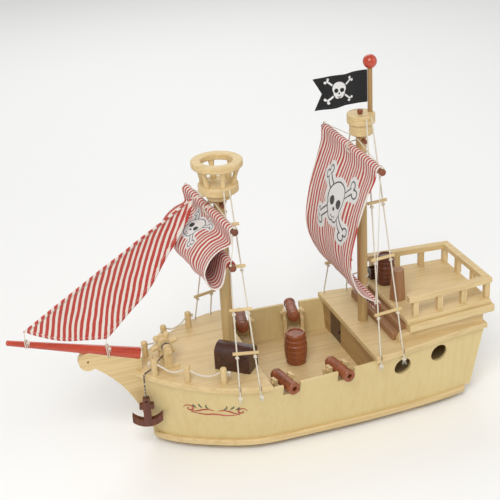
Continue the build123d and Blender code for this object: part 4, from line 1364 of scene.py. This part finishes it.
# ---- carried-over wooden parts -------------------------------------------------------------
class JoinerShop:
    """Gives every carried-over wooden part its finish and the way its grain runs.

    Each line of the plan is a finish, a grain and the parts that share them.
    """

    PLAN: tuple[tuple[Any, Grain, str], ...] = (
        (FinishShelf.PINE, Grain.LENGTHWAYS,
         "foot_battens base_board stem_beak waist_deck foredeck quarterdeck poop_cheeks "
         "poop_band poop_deck poop_rail nest_floor nest_ring main_top shroud_rungs "
         "cannon_trunnions"),
        (FinishShelf.PLY, Grain.UPRIGHT, "hull_side_port hull_side_starboard"),
        (FinishShelf.PLY, Grain.ATHWART, "transom"),
        (FinishShelf.OAK, Grain.ATHWART, "fore_bulkhead cabin_bulkhead"),
        (FinishShelf.DARK_WOOD, Grain.UPRIGHT, "cabin_door"),
        (FinishShelf.WALNUT, Grain.ATHWART, "stairs"),
        (FinishShelf.PINE, Grain.UPRIGHT,
         "poop_rail_posts nest_balusters foredeck_posts windlass_posts"),
        (FinishShelf.MAST_PINE, Grain.UPRIGHT, "foremast mainmast"),
        (FinishShelf.REDBROWN, Grain.ATHWART,
         "mast_pegs fore_upper_yard fore_lower_yard main_upper_yard main_lower_yard"),
        (FinishShelf.OAK, Grain.UPRIGHT, "flagpole"),
        (FinishShelf.RED_PAINT, Grain.UPRIGHT, "pole_ball"),
        (FinishShelf.RED_PAINT, Grain.LENGTHWAYS, "bowsprit"),
        (FinishShelf.PINE, Grain.ATHWART, "windlass_drum cannon_carriages"),
        (FinishShelf.ANCHOR_STAIN, Grain.UPRIGHT, "anchor poop_barrel"),
        (FinishShelf.DARK_WOOD, Grain.LENGTHWAYS, "chest_body chest_lid"),
        (FinishShelf.RED_STAIN, Grain.UPRIGHT, "waist_barrel"),
        (FinishShelf.WALNUT, Grain.UPRIGHT, "bollard"),
        (FinishShelf.DARK_WOOD, Grain.ATHWART, "crate"),
        (FinishShelf.RED_STAIN, Grain.ATHWART,
         "cannon_fore_port cannon_aft_port cannon_fore_starboard cannon_aft_starboard"),
    )

    def dress(self, nodes: dict[str, bpy.types.Object], shelf: FinishShelf) -> None:
        """Puts the finishes on the parts."""
        for finish, grain, names in self.PLAN:
            for name in names.split():
                mesh = nodes[name].data
                mesh.materials.clear()
                mesh.materials.append(shelf.take(finish, grain))
                mesh.polygons.foreach_set("material_index", [0] * len(mesh.polygons))
                LOG.info("part %s in %s", name, finish.name)


# ---- studio ------------------------------------------------------------------------------
@dataclass
class Studio:
    """Pale sweep of floor, soft lights and the camera."""

    eye: Point = (-0.44725, -1.21834, 0.83724)
    back: Point = (-0.3094, -0.8426, 0.4407)
    side: Point = (0.9387, -0.3447, 0.0)
    roll: float = -2.04
    lens: float = 83.54
    shift: Flat = (-0.1012, 0.0363)

    def camera(self) -> None:
        """Sets the camera."""
        back, right = Vector(self.back).normalized(), Vector(self.side).normalized()
        up, a = back.cross(right), math.radians(self.roll)
        across = right * math.cos(a) + up * math.sin(a)
        above = up * math.cos(a) - right * math.sin(a)
        data = bpy.data.cameras.new("studio_camera")
        data.lens, data.sensor_width = self.lens, 36.0
        data.shift_x, data.shift_y = self.shift
        data.clip_start, data.clip_end = 0.05, 20.0
        camera = bpy.data.objects.new("studio_camera", data)
        bpy.context.scene.collection.objects.link(camera)
        turn = Matrix((across, above, back)).transposed().to_4x4()
        camera.matrix_world = Matrix.Translation(Vector(self.eye)) @ turn
        bpy.context.scene.camera = camera

    def lamp(self, name: str, place: Point, aim: Point, size: float, power: float,
             colour: Colour) -> None:
        """Adds a soft square lamp that points at a place."""
        data = bpy.data.lights.new(name, "AREA")
        data.size, data.energy, data.color = size, power, colour
        lamp = bpy.data.objects.new(name, data)
        lamp.location = place
        way = Vector(aim) - Vector(place)
        lamp.rotation_euler = way.to_track_quat("-Z", "Y").to_euler()
        bpy.context.scene.collection.objects.link(lamp)

    def floor(self) -> None:
        """Lays the pale floor and lights the room."""
        g = Graph("studio_floor")
        soft = g.noise(g.place(), 3.0, 2.0)
        tone = g.mix(soft * 0.1, (0.93, 0.93, 0.92), (0.88, 0.88, 0.87))
        paper = g.surface(tone, soft * 0.1 + 0.8, soft, 0.0001, {})
        rings = [Vector((x, y, -0.0005)) for y in (-6, 6) for x in (-6, 6)]
        sweep = solid("studio_sweep", rings, [(0, 1, 3, 2)], paper)
        world = bpy.data.worlds.new("studio_air")
        world.use_nodes = True
        world.node_tree.nodes["Background"].inputs["Color"].default_value = (1.0, 1.0, 1.0, 1.0)
        world.node_tree.nodes["Background"].inputs["Strength"].default_value = 0.55
        bpy.context.scene.world = world
        bpy.context.scene.view_settings.view_transform = "Standard"

    def build(self) -> None:
        """Makes the floor, lamps and camera."""
        self.camera()
        self.floor()
        aim = (0.0, 0.0, 0.15)
        self.lamp("key", (-0.9, -1.5, 2.0), aim, 1.2, 34.0, (1.0, 0.98, 0.95))
        self.lamp("fill", (1.8, -1.0, 1.2), aim, 1.8, 8.0, (0.96, 0.98, 1.0))
        self.lamp("rim", (0.3, 1.8, 1.6), aim, 1.6, 12.0, (1.0, 1.0, 1.0))


# ---- the ship -----------------------------------------------------------------------------
class Ship:
    """The whole ship's rigging, sails and flag."""

    FORE_UPPER = Spar(-99.0, 7.25, 79.0, 301.0, 5.0)
    FORE_LOWER = Spar(-99.0, 7.25, 86.0, 260.0)
    MAIN_UPPER = Spar(84.0, 6.5, 91.0, 347.0)
    MAIN_LOWER = Spar(84.0, 6.5, 75.5, 167.0)

    def rigging(self, rigger: Rigger) -> None:
        """Makes every cord and knot."""
        Shrouds("fore_shroud", ((-117.0, 96.5), (-93.0, 103.4)),
                ((-100.0, 25.2, 331.0), (-93.0, 24.8, 331.0)),
                (147.0, 197.0, 246.0, 293.0)).build(rigger)
        Shrouds("main_shroud", ((66.0, 96.5), (99.0, 92.5)),
                ((83.0, 18.4, 388.0), (90.0, 17.6, 388.0)), (158.0, 224.0, 291.0)).build(rigger)
        YardGear("fore", self.FORE_UPPER, self.FORE_LOWER, 307.0).build(rigger)
        YardGear("main", self.MAIN_UPPER, self.MAIN_LOWER, 357.0).build(rigger)
        JibTies().build(rigger)
        DeckRopes().build(rigger)
        AnchorLine().build(rigger)

    def canvas(self, needle: Needle) -> None:
        """Makes the sails and the flag."""
        SquareSail("mainsail", self.MAIN_UPPER, self.MAIN_LOWER,
                   ((66, 333), (58, 312), (45, 275), (38, 228), (48, 190)),
                   84.0, 70.0, 4.9, 172.0, 118.0,
                   Cotton("mainsail_cotton", CALICO, STRIPE_RED, 0.0067, 0.54,
                          emblem=Emblem((0.080, -0.092), 0.082))).build(needle)
        SquareSail("foresail", self.FORE_UPPER, self.FORE_LOWER,
                   ((-115, 285), (-130, 278), (-142, 268), (-149, 254), (-145, 240), (-136, 233),
                    (-125, 237)), 74.0, 76.0, 4.9, 172.0, 172.0,
                   Cotton("foresail_cotton", CALICO, STRIPE_RED, 0.0067, 0.54,
                          emblem=Emblem((0.082, -0.056), 0.048)),
                   crease=1.3).build(needle)
        Jib().build(needle)
        Flag().build(needle)


def main() -> None:
    """Builds the looks in order: camera, cords, cloth, paint and wood."""
    logging.basicConfig(level=logging.INFO, format="%(name)s: %(message)s")
    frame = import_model()
    shelf = FinishShelf()
    Studio().build()
    ship = Ship()
    ship.rigging(Rigger(shelf, StrandTree()))
    ship.canvas(Needle(shelf, StitchTree()))
    nodes = frame["nodes"]
    BowScroll().build(shelf, {-1: nodes["hull_side_port"]})
    JoinerShop().dress(nodes, shelf)


if __name__ == "__main__":
    main()
